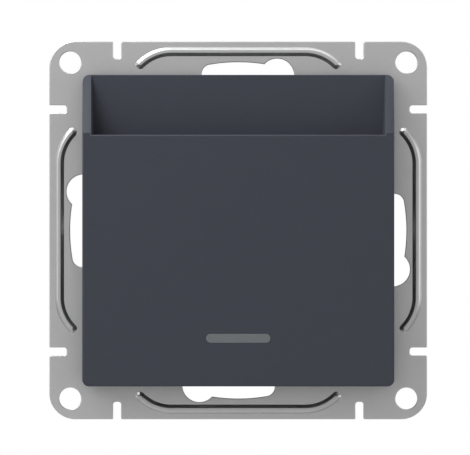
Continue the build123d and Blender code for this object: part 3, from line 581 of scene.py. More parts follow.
ZINC = PlatedMetal("zinc_steel_satin", (0.458, 0.458, 0.458), 0.36, rolled=(1.0, 1.0, 9.0), tone=0.04)
ANTHRACITE = Moulding("anthracite_moulding", (0.036, 0.041, 0.053), 0.55, 0.22, tone=0.03)
WINDOW = SmokyWindow("smoky_window", (0.13, 0.14, 0.145))
CARRIER = Moulding("carrier_moulding", (0.2, 0.205, 0.21), 0.45)
WHITE_ACETAL = Moulding("white_acetal", (0.75, 0.75, 0.72), 0.35, texture_depth=3 * MICRON)
HOUSING = Moulding("housing_moulding", (0.58, 0.59, 0.59), 0.48)
BLACK_CASE = Moulding("switch_black_moulding", (0.02, 0.02, 0.022), 0.42, tone=0.1)
BRIGHT_STEEL = PlatedMetal("bright_zinc_plating", (0.62, 0.62, 0.6), 0.3)
YELLOW_ZINC = PlatedMetal("yellow_zinc_plating", (0.58, 0.52, 0.36), 0.34, stain=(0.62, 0.6, 0.5), tone=0.1)
BRASS = PlatedMetal("brass_strip", (0.75, 0.53, 0.22), 0.28, rolled=(6.0, 1.0, 1.0), tone=0.06)
SPRING_STEEL = PlatedMetal("spring_steel", (0.5, 0.5, 0.51), 0.25, tone=0.08)
BOARD_GREEN = SolderMask("board_lacquer", (0.02, 0.12, 0.04))
LAMP_RESIN = SmokyWindow("lamp_resin", (0.62, 0.66, 0.68), 0.12)

FINISH_OF_SLOT: dict[str, Finish] = {
    "zinc_steel": ZINC, "anthracite": ANTHRACITE, "window_grey": WINDOW, "carrier_grey": CARRIER,
    "lever_white": WHITE_ACETAL, "housing_grey": HOUSING, "switch_black": BLACK_CASE,
    "bright_steel": BRIGHT_STEEL, "claw_steel": YELLOW_ZINC, "brass": BRASS,
    "board_green": BOARD_GREEN, "lamp_clear": LAMP_RESIN,
}


class FinishShelf:
    """Builds each finish's material once and hands it out."""

    def __init__(self) -> None:
        """Start with no material built."""
        self.built: dict[str, bpy.types.Material] = {}

    def take(self, finish: Finish) -> bpy.types.Material:
        """Hand out a finish's material, built at its first use.

        Args:
            finish: the finish.

        Returns:
            Its material.
        """
        if finish.name not in self.built:
            self.built[finish.name] = finish.build()
        return self.built[finish.name]


SHELF = FinishShelf()


def link_object(name: str, data: bpy.types.ID) -> bpy.types.Object:
    """Put a mesh, curve, lamp or camera into the scene as an object at the origin.

    Args:
        name: the object's name.
        data: its mesh or other data.

    Returns:
        The new object.
    """
    thing = bpy.data.objects.new(name, data)
    bpy.context.scene.collection.objects.link(thing)
    return thing


def freeze(thing: bpy.types.Object) -> bpy.types.Object:
    """Turn an object's evaluated shape into its plain mesh and drop its modifiers.

    Args:
        thing: a mesh object with live modifiers.

    Returns:
        The same object.
    """
    graph = bpy.context.evaluated_depsgraph_get()
    mesh = bpy.data.meshes.new_from_object(thing.evaluated_get(graph), depsgraph=graph)
    old = thing.data
    thing.modifiers.clear()
    thing.data = mesh
    bpy.data.meshes.remove(old)
    return thing


@contextmanager
def edited(mesh: bpy.types.Mesh, *sources: bpy.types.Mesh) -> Iterator[bmesh.types.BMesh]:
    """Open a mesh for editing and write it back at the end.

    Args:
        mesh: the mesh that is written.
        sources: the meshes to start from, where that isn't the mesh itself.

    Yields:
        The editable shape.
    """
    shape = bmesh.new()
    for source in sources or (mesh,):
        shape.from_mesh(source)
    yield shape
    shape.to_mesh(mesh)
    shape.free()


def rounded(thing: bpy.types.Object, width: float) -> bpy.types.Object:
    """Round an object's sharp edges.

    Args:
        thing: a mesh object.
        width: width of the rounding in metres, or 0 to leave the edges as they are.

    Returns:
        The same object, with a plain mesh.
    """
    if width > 0:
        bevel = thing.modifiers.new("rounding", "BEVEL")
        bevel.width = width
        bevel.segments = ROUNDING_FACES
        bevel.limit_method = "ANGLE"
        bevel.angle_limit = math.radians(ROUNDED_ANGLE)
        bevel.use_clamp_overlap = False
        bevel.miter_outer = "MITER_ARC"
        freeze(thing)
    return thing


def rounded_long(thing: bpy.types.Object, width: float, longer_than: float) -> bpy.types.Object:
    """Round only the long sharp edges, where the short ones already lie in a rounding.

    Args:
        thing: a mesh object.
        width: width of the rounding in metres.
        longer_than: shortest edge that is rounded, in metres.

    Returns:
        The same object.
    """
    with edited(thing.data) as shape:
        edges = [edge for edge in shape.edges if edge.calc_length() > longer_than
                 and edge.calc_face_angle(0.0) > math.radians(ROUNDED_ANGLE)]
        bmesh.ops.bevel(shape, geom=edges, offset=width, segments=LONG_EDGE_FACES, profile=0.5,
                        affect="EDGES")
    return thing


def part_flats(thing: bpy.types.Object, levels: Sequence[float]) -> None:
    """Keep a crease round the flat faces of a sheet, so that its rims don't tint them.

    Args:
        thing: a mesh object with a sheet square to Y.
        levels: the levels along Y where the sheet's flat faces lie.
    """
    with edited(thing.data) as shape:
        for edge in shape.edges:
            flat = [any(all(abs(corner.co.y - level) < MICRON for corner in face.verts)
                        for level in levels) for face in edge.link_faces]
            if any(flat) and not all(flat):
                edge.smooth = False


def smoothed(thing: bpy.types.Object, flat_levels: Sequence[float] = ()) -> bpy.types.Object:
    """Shade an object's faces smoothly between its creases.

    Args:
        thing: a mesh object.
        flat_levels: levels along Y whose flat faces keep a crease round them.

    Returns:
        The same object, with a plain mesh.
    """
    for face in thing.data.polygons:
        face.use_smooth = True
    thing.data.set_sharp_from_angle(angle=math.radians(CREASE_ANGLE))
    part_flats(thing, flat_levels)
    weigh = thing.modifiers.new("even_shading", "WEIGHTED_NORMAL")
    weigh.mode = "FACE_AREA"
    weigh.weight = LARGEST_FACE_WEIGHT
    weigh.keep_sharp = True
    return freeze(thing)


def merged_copy(node: str, name: str) -> bpy.types.Object:
    """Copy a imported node's mesh, joined up and with its flat faces made whole.

    Args:
        node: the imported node.
        name: name of the new object.

    Returns:
        The new object.
    """
    mesh = bpy.data.meshes.new(name)
    with edited(mesh, frame["nodes"][node].data) as shape:
        bmesh.ops.remove_doubles(shape, verts=shape.verts, dist=MICRON)
        bmesh.ops.dissolve_limit(shape, angle_limit=math.radians(FLAT_ANGLE), verts=shape.verts,
                                 edges=shape.edges)
    return link_object(name, mesh)


def seat(thing: bpy.types.Object, node: str, finish: Finish | None = None,
         rides: bool = True) -> bpy.types.Object:
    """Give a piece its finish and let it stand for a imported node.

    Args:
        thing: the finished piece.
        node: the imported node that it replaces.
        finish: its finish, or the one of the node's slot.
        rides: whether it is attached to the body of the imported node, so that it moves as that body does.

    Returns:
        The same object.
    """
    material = SHELF.take(finish or FINISH_OF_SLOT[SLOT_OF[node]])
    thing.data.materials.clear()
    thing.data.materials.append(material)
    if rides:
        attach(thing, BODY_OF[node])
    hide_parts(node)
    log.info("%s stands for %s, with %d faces", thing.name, node, len(thing.data.polygons))
    return thing


def dressed(node: str, name: str, rounding: float, finish: Finish | None = None) -> bpy.types.Object:
    """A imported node's piece with rounded edges and its finish.

    Args:
        node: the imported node.
        name: name of the new piece.
        rounding: width of its edge roundings in metres.
        finish: its finish, or the one of the node's slot.

    Returns:
        The new piece.
    """
    return seat(smoothed(rounded(merged_copy(node, name), rounding)), node, finish)


def polar(radius: float, degrees: float) -> FlatPoint:
    """The X and Z of a point at a radius and an angle from +X towards +Z."""
    return radius * math.cos(math.radians(degrees)), radius * math.sin(math.radians(degrees))


def arc(centre: FlatPoint, radius: float, start: float, end: float, step: float = ARC_STEP) -> Outline:
    """Points along an arc.

    Args:
        centre: middle of the arc, as X and Z.
        radius: its radius.
        start: angle of the first point in degrees, from +X towards +Z.
        end: angle of the last point in degrees.
        step: greatest angle between points in degrees.

    Returns:
        The points, both ends included.
    """
    count = max(1, math.ceil(abs(end - start) / step))
    offsets = [polar(radius, start + (end - start) * number / count) for number in range(count + 1)]
    return [(centre[0] + x, centre[1] + z) for x, z in offsets]


def circle(centre: FlatPoint, radius: float, step: float) -> Outline:
    """Points round a circle, a step in degrees apart."""
    return arc(centre, radius, 0, 360 - step, step)


def turned(points: Sequence[FlatPoint], quarters: int) -> Outline:
    """Turn points about the middle.

    Args:
        points: the points, as X and Z.
        quarters: number of quarter turns from +X towards +Z, or negative the other way.

    Returns:
        The turned points.
    """
    result = list(points)
    for _ in range(quarters % QUARTERS):
        result = [(-z, x) for x, z in result]
    return result


def rounded_rectangle(width: float, height: float, radius: float) -> Outline:
    """Outline of a rectangle with rounded corners about the middle.

    Args:
        width: its length along X.
        height: its length along Z.
        radius: radius of its corners.

    Returns:
        Its points.
    """
    x = width / 2 - radius
    z = height / 2 - radius
    corners = (((x, z), 0), ((-x, z), 90), ((-x, -z), 180), ((x, -z), 270))
    return [point for centre, start in corners for point in arc(centre, radius, start, start + 90)]


def stamped(name: str, loops: Sequence[Outline], y_back: float, y_front: float,
            rounding: float) -> bpy.types.Object:
    """Cut a sheet with holes from loops in the front view, its edges rounded.

    Args:
        name: the object's name.
        loops: outline and holes, as X and Z.
        y_back: level of the sheet's back.
        y_front: level of its front.
        rounding: radius of its edges.

    Returns:
        The new object.
    """
    curve = bpy.data.curves.new(name, "CURVE")
    curve.dimensions = "2D"
    curve.fill_mode = "BOTH"
    curve.extrude = (y_back - y_front) / 2 - rounding
    curve.bevel_depth = rounding
    curve.bevel_resolution = EXTRA_RIM_FACES
    curve.offset = -rounding
    for loop in loops:
        spline = curve.splines.new("POLY")
        spline.points.add(len(loop) - 1)
        for point, (x, z) in zip(spline.points, loop):
            point.co = (x, z, 0.0, 1.0)
        spline.use_cyclic_u = True
    drawn = link_object(name, curve)
    graph = bpy.context.evaluated_depsgraph_get()
    mesh = bpy.data.meshes.new_from_object(drawn.evaluated_get(graph), depsgraph=graph)
    bpy.data.objects.remove(drawn)
    bpy.data.curves.remove(curve)
    middle = Vector((0.0, (y_back + y_front) / 2, 0.0))
    mesh.transform(Matrix.Translation(middle) @ Matrix.Rotation(QUARTER_TURN, 4, "X"))
    with edited(mesh) as shape:
        bmesh.ops.remove_doubles(shape, verts=shape.verts, dist=MICRON)
        bmesh.ops.recalc_face_normals(shape, faces=shape.faces)
    return link_object(name, mesh)


def joined(name: str, things: Sequence[bpy.types.Object]) -> bpy.types.Object:
    """Join plain mesh objects into one.

    Args:
        name: name of the joined object.
        things: the objects, which are used up.

    Returns:
        The joined object.
    """
    mesh = bpy.data.meshes.new(name)
    with edited(mesh, *(thing.data for thing in things)):
        # Reading them all into one shape has joined them
        for thing in things:
            bpy.data.objects.remove(thing)
    return link_object(name, mesh)


class Drive(Enum):
    """The recess in a screw's head."""

    SLOT = 1
    CROSS = 2


# Tilt of a screw about X in degrees, with its head up or towards the viewer
HEAD_UP = 0.0
HEAD_FORWARD = 90.0


@dataclass(frozen=True)
class ScrewRow:
    """Right-handed machine screws with pan heads, one or more in a row along X."""

    name: str
    seat_point: Point
    tilt: float
    radius: float
    length: float
    head_radius: float
    head_height: float
    drive: Drive
    pitch: float
    count: int = 1
    spacing: float = 0.0
    thread_depth: float = 0.28 * MM
    recess_width: float = 0.7 * MM
    recess_depth: float = 0.9 * MM
    head_bury: float = 0.1 * MM
    rim_share: float = 0.35
    tip_share: float = 0.7
    arm_share: float = 0.7
    slot_overhang: float = 1.2
    around: int = 20
    per_turn: int = 6
    head_around: int = 48
    head_rings: int = 12

    def shank(self, graph: ShapeGraph) -> Socket:
        """Wind a grid into a thread that closes itself at both ends.

        Args:
            graph: the screw's tree.

        Returns:
            The shank, hanging down from the origin.
        """
        entry = graph.entry
        top = self.radius - self.thread_depth + self.head_bury
        tip = self.radius * self.tip_share
        start = -(self.length + tip + self.pitch)
        rings = math.ceil((top - start) / self.pitch * self.per_turn)
        tall = rings * self.pitch / self.per_turn
        grid = graph.add("GeometryNodeMeshGrid", {
            "Size X": FULL_TURN, "Size Y": tall,
            "Vertices X": self.around + 1, "Vertices Y": rings + 1}).outputs["Mesh"]
        place = graph.position()
        # The grid's X becomes the turn round the axis, and each turn climbs by one pitch
        run = graph.plus(place["Y"], tall / 2)
        turns = graph.over(place["X"], FULL_TURN)
        level = graph.plus(run, start, graph.times(entry["Pitch"], graph.plus(turns, 0.5)))
        tooth = graph.math("PINGPONG", graph.over(run, entry["Pitch"]), 0.5)
        core = graph.minus(entry["Radius"], entry["Thread depth"])
        thread = graph.plus(core, graph.times(tooth, 2.0, entry["Thread depth"]))
        # The reach from the axis falls to 0 past either end, which closes the shank
        below = graph.plus(level, entry["Length"], tip)
        above = graph.minus(top, level)
        reach = graph.most(graph.least(thread, below, above), 0.0)
        foot = graph.times(entry["Length"], -1.0)
        height = graph.least(graph.most(level, foot), self.head_bury)
        x = graph.times(reach, graph.math("COSINE", place["X"]))
        y = graph.times(reach, graph.math("SINE", place["X"]))
        wound = graph.placed(grid, graph.vector(x, y, height))
        return graph.add("GeometryNodeMergeByDistance", {"Geometry": wound, "Distance": MICRON}).outputs[0]

    def head(self, graph: ShapeGraph) -> Socket:
        """Round a drum into a pan head and cut its recess.

        Args:
            graph: the screw's tree.

        Returns:
            The head, standing on the origin.
        """
        tall, wide = graph.entry["Head height"], graph.entry["Head radius"]
        drum = graph.add("GeometryNodeMeshCylinder", {
            "Vertices": self.head_around, "Side Segments": self.head_rings,
            "Radius": wide, "Depth": tall}).outputs["Mesh"]
        place = graph.position()
        height = graph.plus(place["Z"], graph.times(tall, 0.5))
        # Above the rim's foot the drum narrows along a quarter circle
        rim = graph.times(tall, self.rim_share)
        past = graph.over(graph.most(graph.minus(height, graph.minus(tall, rim)), 0.0), rim)
        square = graph.most(graph.minus(1.0, graph.math("POWER", past, 2.0)), 0.0)
        fall = graph.minus(1.0, graph.math("SQRT", square))
        share = graph.minus(1.0, graph.over(graph.times(fall, rim), wide))
        spot = graph.vector(graph.times(place["X"], share), graph.times(place["Y"], share), height)
        cut = graph.add("GeometryNodeMeshBoolean", operation="DIFFERENCE", solver="EXACT")
        graph.feed(cut.inputs["Mesh 1"], graph.placed(drum, spot))
        is_cross = self.drive is Drive.CROSS
        short = graph.entry["Recess width"]
        long = graph.times(wide, 2 * (self.arm_share if is_cross else self.slot_overhang))
        deep = graph.times(graph.entry["Recess depth"], 2.0)
        for x, y in ((long, short), (short, long)) if is_cross else ((long, short),):
            block = graph.add("GeometryNodeMeshCube", {"Size": graph.vector(x, y, deep)}).outputs["Mesh"]
            moved = graph.add("GeometryNodeTransform", {
                "Geometry": block, "Translation": graph.vector(z=tall)}).outputs[0]
            graph.feed(cut.inputs["Mesh 2"], moved)
        return cut.outputs["Mesh"]

    def build(self, node: str, finish: PlatedMetal) -> None:
        """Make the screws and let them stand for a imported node.

        Args:
            node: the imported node.
            finish: the metal they are made of.
        """
        graph = ShapeGraph(
            self.name, Radius=self.radius, Length=self.length, Pitch=self.pitch, Count=self.count,
            Spacing=self.spacing, **{
                "Thread depth": self.thread_depth, "Head radius": self.head_radius,
                "Head height": self.head_height, "Recess width": self.recess_width,
                "Recess depth": self.recess_depth})
        screw = graph.add("GeometryNodeJoinGeometry")
        for part in (self.shank(graph), self.head(graph)):
            graph.feed(screw.inputs[0], part)
        spots = graph.add("GeometryNodeMeshLine", {
            "Count": graph.entry["Count"], "Start Location": self.seat_point,
            "Offset": graph.vector(graph.entry["Spacing"])}).outputs[0]
        thing = graph.grow(graph.copies(spots, screw.outputs[0], (math.radians(self.tilt), 0.0, 0.0)),
                           SHELF.take(finish))
        with edited(thing.data) as shape:
            bmesh.ops.recalc_face_normals(shape, faces=shape.faces)
        seat(smoothed(thing), node, finish)


@dataclass(frozen=True)
class ReturnSpring:
    """Compression spring with a closed turn at each end, standing along Z."""

    name: str
    centre: FlatPoint
    low: float
    high: float
    radius: float
    wire_radius: float = 0.2 * MM
    turns: int = 7
    end_rise: float = 0.42 * MM
    per_turn: int = 32
    wire_sides: int = 12

    def build(self, node: str, finish: PlatedMetal) -> bpy.types.Object:
        """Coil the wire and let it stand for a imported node.

        Args:
            node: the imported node.
            finish: the metal it is made of.

        Returns:
            The spring.
        """
        graph = ShapeGraph(
            self.name, Radius=self.radius - self.wire_radius, Wire=self.wire_radius,
            Low=self.low + self.wire_radius, High=self.high - self.wire_radius,
            Turns=float(self.turns), **{"End rise": self.end_rise})
        entry = graph.entry
        coil = graph.add("GeometryNodeCurveSpiral", {
            "Resolution": self.per_turn, "Rotations": entry["Turns"], "Start Radius": entry["Radius"],
            "End Radius": entry["Radius"], "Height": 0.0}).outputs["Curve"]
        share = graph.add("GeometryNodeSplineParameter").outputs["Factor"]
        first = graph.over(1.0, entry["Turns"])
        last = graph.minus(1.0, first)
        closed = entry["End rise"]
        open_rise = graph.minus(graph.minus(entry["High"], entry["Low"]), graph.times(closed, 2.0))
        level = entry["Low"]
        for start, end, rise in ((0.0, first, closed), (first, last, open_rise), (last, 1.0, closed)):
            inputs = {"Value": share, "From Min": start, "From Max": end, "To Min": 0.0, "To Max": rise}
            level = graph.plus(level, graph.add("ShaderNodeMapRange", inputs, clamp=True).outputs["Result"])
        place = graph.position()
        x = graph.plus(place["X"], self.centre[0])
        y = graph.plus(place["Y"], self.centre[1])
        path = graph.placed(coil, graph.vector(x, y, level))
        ring = graph.add("GeometryNodeCurvePrimitiveCircle", {
            "Resolution": self.wire_sides, "Radius": entry["Wire"]}).outputs["Curve"]
        wire = graph.add("GeometryNodeCurveToMesh", {
            "Curve": path, "Profile Curve": ring, "Fill Caps": True}).outputs[0]
        return seat(smoothed(graph.grow(wire, SHELF.take(finish))), node, finish, rides=False)


@dataclass
class SupportPlate:
    """Pressed steel plate with its holes, slots, notches, beads and claw ears."""

    size: float = 71.2 * MM
    thickness: float = 1.2 * MM
    corner_radius: float = 4.9 * MM
    rounding: float = 0.13 * MM
    hole_radius: float = 2.05 * MM
    hole_offset: float = 31.68 * MM
    notch_width: float = 1.5 * MM
    notch_depth: float = 3.26 * MM
    notch_offset: float = 22.83 * MM
    notch_radius: float = 0.5 * MM
    notch_lip: float = 0.25 * MM
    keyhole_track: float = 30.0 * MM
    keyhole_radius: float = 3.2 * MM
    keyhole_rise: float = 0.08 * MM
    keyhole_width: float = 3.4 * MM
    keyhole_angle: float = 14.1
    keyhole_end: float = 9.9
    aperture: tuple[float, float] = (26.0 * MM, 40.0 * MM)
    aperture_radius: float = 2.0 * MM
    screw_holes: tuple[tuple[float, float], ...] = ((16.0 * MM, 1.6 * MM), (23.6 * MM, 1.4 * MM))
    bead_distance: float = 33.68 * MM
    bead_straight: float = 25.2 * MM
    bead_curve: float = 8.3 * MM
    bead_angle: float = 50.4
    bead_width: float = 1.7 * MM
    bead_height: float = 0.52 * MM
    bead_flanks: tuple[float, float] = (0.72 * MM, 0.4 * MM)
    bead_blend: float = 0.03 * MM
    bead_tip: float = 0.8 * MM
    bead_sink: float = 0.02 * MM
    bead_lap: float = 0.2 * MM
    groove_flanks: tuple[float, float] = (0.3 * MM, 0.3 * MM)
    groove_rim: float = 0.36 * MM
    groove_depth: float = 0.9 * MM
    bead_cell: float = 0.09 * MM
    ear_place: FlatPoint = (26.0 * MM, 1.9 * MM)
    ear_radius: float = 1.5 * MM
    ear_hole: float = 0.75 * MM
    ear_level: float = 4.65 * MM
    ear_thickness: float = 1.0 * MM

    def notch(self, offset: float) -> Outline:
        """Outline of one notch in the top edge, from left to right.

        Args:
            offset: X of its middle.

        Returns:
            Its points.
        """
        top = self.size / 2
        half = self.notch_width / 2
        lip = self.notch_lip
        foot = top - self.notch_depth + self.notch_radius
        reach = half - self.notch_radius
        return [
            *arc((offset - half - lip, top - lip), lip, 90, 0, step=30),
            *arc((offset - reach, foot), self.notch_radius, 180, 270, step=15),
            *arc((offset + reach, foot), self.notch_radius, 270, 360, step=15),
            *arc((offset + half + lip, top - lip), lip, 180, 90, step=30),
        ]

    def outline(self) -> Outline:
        """Outline of the plate with its eight notches.

        Returns:
            Its points, clockwise.
        """
        inner = self.size / 2 - self.corner_radius
        side = [*self.notch(-self.notch_offset), *self.notch(self.notch_offset),
                *arc((inner, inner), self.corner_radius, 90, 0, step=4)]
        return [point for quarter in range(QUARTERS) for point in turned(side, -quarter)]

    def keyhole(self) -> Outline:
        """Outline of the left keyhole: the round hole above the curved slot.

        Returns:
            Its points.
        """
        half = self.keyhole_width / 2
        track = self.keyhole_track
        start = 180 - self.keyhole_angle
        end = 180 + self.keyhole_end
        far = track + self.keyhole_rise
        round_x, round_z = polar(far, start)
        sides = []
        for radius in (track - half, track + half):
            cosine = (far ** 2 + radius ** 2 - self.keyhole_radius ** 2) / (2 * far * radius)
            meeting = start + math.degrees(math.acos(cosine))
            x, z = polar(radius, meeting)
            sides.append((radius, meeting, math.degrees(math.atan2(z - round_z, x - round_x))))
        (inner, inner_from, inner_turn), (outer, outer_from, outer_turn) = sides
        return [
            *arc((round_x, round_z), self.keyhole_radius, inner_turn, outer_turn % 360),
            *arc(MIDDLE, outer, outer_from, end, step=2)[1:],
            *arc(polar(track, end), half, end, end + 180, step=10)[1:],
            *arc(MIDDLE, inner, end, inner_from, step=2)[1:-1],
        ]

    def bead_slot(self) -> Outline:
        """Outline of the opening under the top bead, smaller than the bead by the lap.

        Returns:
            Its points.
        """
        half = self.bead_straight / 2
        reach = self.bead_width / 2 - self.bead_lap
        centre = self.bead_distance - self.bead_curve
        angle = self.bead_angle - math.degrees(self.bead_lap / self.bead_curve)
        return [
            *arc((half, centre), self.bead_curve + reach, 90, 90 - angle, step=4),
            *arc((half, centre), self.bead_curve - reach, 90 - angle, 90, step=4),
            *arc((-half, centre), self.bead_curve - reach, 90, 90 + angle, step=4),
            *arc((-half, centre), self.bead_curve + reach, 90 + angle, 90, step=4),
        ]

    def beads(self, name: str, level: float, rise: float, rim: float, flanks: tuple[float, float],
              material: bpy.types.Material) -> bpy.types.Object:
        """Bend a grid along the four beads and press its height into it.

        Args:
            name: name of the tree and its result.
            level: level of the grid's border along Y.
            rise: how far the middle stands out from the border towards the viewer.
            rim: flat border round the raised part.
            flanks: widths of the sloping sides, towards the plate's middle and away from it.
            material: what the beads are made of.

        Returns:
            The four beads as one object.
        """
        # The reach is half the bead's length, so a cell is twice as long as it is wide
        reach = self.bead_straight / 2 + self.bead_curve * math.radians(self.bead_angle)
        graph = ShapeGraph(
            name, Reach=reach, Width=self.bead_width, Straight=self.bead_straight / 2,
            Curve=self.bead_curve, Distance=self.bead_distance, Level=level, Rise=rise, Rim=rim,
            Inner=flanks[0], Outer=flanks[1], Blend=self.bead_blend, Tip=self.bead_tip, Sink=self.bead_sink,
            Along=math.ceil(reach / self.bead_cell), Across=math.ceil(self.bead_width / self.bead_cell))
        entry = graph.entry
        half_width = graph.times(entry["Width"], 0.5)
        grid = graph.add("GeometryNodeMeshGrid", {
            "Size X": graph.times(entry["Reach"], 2.0), "Size Y": entry["Width"],
            "Vertices X": entry["Along"], "Vertices Y": entry["Across"]}).outputs["Mesh"]
        place = graph.position()
        # The grid's X runs along the straight, and on round the curve at either end
        run = graph.math("ABSOLUTE", place["X"])
        angle = graph.over(graph.most(graph.minus(run, entry["Straight"]), 0.0), entry["Curve"])
        radius = graph.plus(entry["Curve"], place["Y"])
        bend = graph.times(radius, graph.math("SINE", angle))
        drop = graph.times(radius, graph.math("COSINE", angle))
        reached = graph.plus(graph.least(run, entry["Straight"]), bend)
        x = graph.times(graph.math("SIGN", place["X"]), reached)
        z = graph.plus(graph.minus(entry["Distance"], entry["Curve"]), drop)
        # How far inside the border a point lies, measured round the corners of the tips
        from_side = graph.minus(half_width, graph.math("ABSOLUTE", place["Y"]))
        gaps = (from_side, graph.minus(entry["Reach"], run))
        short = [graph.minus(entry["Tip"], graph.minus(gap, entry["Rim"])) for gap in gaps]
        squares = [graph.math("POWER", graph.most(side, 0.0), 2.0) for side in short]
        corner = graph.math("SQRT", graph.plus(*squares))
        inside = graph.minus(graph.minus(entry["Tip"], corner), graph.least(graph.most(*short), 0.0))
        outward = {"Value": place["Y"], "From Min": graph.times(half_width, -1.0), "From Max": half_width,
                   "To Min": entry["Inner"], "To Max": entry["Outer"]}
        slope = graph.over(entry["Rise"], graph.add("ShaderNodeMapRange", outward).outputs["Result"])
        lowest = graph.times(entry["Sink"], graph.times(graph.math("SIGN", entry["Rise"]), -1.0))
        height = graph.most(graph.times(inside, slope), lowest)
        height = graph.math("SMOOTH_MIN", height, entry["Rise"], entry["Blend"])
        bent = graph.placed(grid, graph.vector(x, graph.minus(entry["Level"], height), z))
        spots = graph.add("GeometryNodePoints", {"Count": QUARTERS}).outputs[0]
        quarter = graph.times(graph.add("GeometryNodeInputIndex").outputs[0], QUARTER_TURN)
        return graph.grow(graph.copies(spots, bent, graph.vector(y=quarter)), material)

    def ears(self) -> list[bpy.types.Object]:
        """The four ears on the back that hold the claw pins.

        Returns:
            The ears.
        """
        ears = []
        foot = self.rounding
        for side in (-1, 1):
            centre = (side * self.ear_place[0], self.ear_place[1])
            loop = [(centre[0] - self.ear_radius, -foot), (centre[0] + self.ear_radius, -foot),
                    *arc(centre, self.ear_radius, 0, 180)]
            hole = circle(centre, self.ear_hole, step=15)
            for low in (self.ear_level, -self.ear_level - self.ear_thickness):
                ear = stamped("claw_ear", (loop, hole), 0.0, -self.ear_thickness, self.rounding)
                # Lay the ear down: what was drawn along Z stands out from the plate along Y
                ear.data.transform(Matrix(((1, 0, 0, 0), (0, 0, 1, 0), (0, -1, 0, low), (0, 0, 0, 1))))
                ears.append(ear)
        return ears

    def build(self) -> None:
        """Make the plate."""
        steel = SHELF.take(ZINC)
        holes = [circle((x * self.hole_offset, z * self.hole_offset), self.hole_radius, step=5)
                 for x in (-1, 1) for z in (-1, 1)]
        holes += [turned(self.keyhole(), quarter) for quarter in range(QUARTERS)]
        holes += [turned(self.bead_slot(), quarter) for quarter in range(QUARTERS)]
        holes.append(rounded_rectangle(*self.aperture, self.aperture_radius))
        holes += [circle((side * offset, 0.0), radius, step=10)
                  for side in (-1, 1) for offset, radius in self.screw_holes]
        sheet = stamped("plate_sheet", (self.outline(), *holes), 0.0, -self.thickness, self.rounding)
        front = self.beads("bead_fronts", -self.thickness, self.bead_height, 0.0, self.bead_flanks, steel)
        back = self.beads("bead_backs", 0.0, self.groove_depth, self.groove_rim, self.groove_flanks, steel)
        back.data.flip_normals()
        plate = joined("support_plate", (sheet, front, back, *self.ears()))
        seat(smoothed(plate, flat_levels=(0.0, -self.thickness)), "mounting_plate")


@dataclass
class CardCover:
    """Dark cover: front moulding, rear tray and light window."""

    front_rounding: float = 0.1 * MM
    long_edge: float = 2.5 * MM
    rear_rounding: float = 0.14 * MM
    window_rounding: float = 0.08 * MM

    def build(self) -> None:
        """Make the three mouldings."""
        front = rounded_long(merged_copy("front_cover", "cover_front"), self.front_rounding, self.long_edge)
        seat(smoothed(front), "front_cover")
        dressed("cover_tray", "cover_rear", self.rear_rounding)
        dressed("light_guide", "light_window", self.window_rounding)


@dataclass
class LeverMechanism:
    """Carrier with the card lever, its pin and its spring."""

    carrier_rounding: float = 0.06 * MM
    lever_rounding: float = 0.12 * MM
    pin_rounding: float = 0.1 * MM
    spring_end_turn: float = 0.45 * MM

    def build(self) -> None:
        """Make the carrier, the lever and what returns it."""
        dressed("switch_carrier", "carrier_frame", self.carrier_rounding)
        dressed("card_lever", "card_rocker", self.lever_rounding)
        dressed("lever_pin", "rocker_pin", self.pin_rounding)
        low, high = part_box("lever_spring")
        middle = (low + high) / 2
        coil = ReturnSpring("rocker_spring", (middle.x, middle.y), low.z, high.z, (high.x - low.x) / 2)
        spring = coil.build("lever_spring", SPRING_STEEL)
        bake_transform(spring)


@dataclass
class Indicator:
    """Circuit board behind the window with its lamp, resistor and diode."""

    rounding: float = 0.06 * MM
    leaded_rounding: float = 0.0
    resistor_colour: Colour = (0.45, 0.33, 0.18)
    resistor_bands: Bands = (
        (0.16, (0.05, 0.1, 0.4)), (0.36, (0.3, 0.3, 0.3)),
        (0.56, (0.7, 0.3, 0.02)), (0.8, (0.5, 0.35, 0.08)))
    diode_colour: Colour = (0.02, 0.02, 0.02)
    diode_bands: Bands = ((0.78, (0.6, 0.6, 0.6)),)

    def banded(self, node: str, name: str, colour: Colour, bands: Bands) -> None:
        """Make one component with colour bands.

        Args:
            node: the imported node.
            name: the piece's name.
            colour: colour of its body.
            bands: place, as a share of the length, and colour of each band.
        """
        low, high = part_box(node)
        finish = BandedBody(name + "_lacquer", colour, (low.x + high.x) / 2, high.x - low.x, bands)
        dressed(node, name, self.leaded_rounding, finish)

    def build(self) -> None:
        """Make the board and what it carries."""
        dressed("indicator_board", "lamp_board", self.rounding)
        dressed("indicator_lamp", "diode_lamp", self.rounding)
        self.banded("series_resistor", "lamp_resistor", self.resistor_colour, self.resistor_bands)
        self.banded("blocking_diode", "lamp_diode", self.diode_colour, self.diode_bands)
        for side in ("live", "neutral"):
            dressed("board_pin_" + side, "contact_pin_" + side, self.rounding)


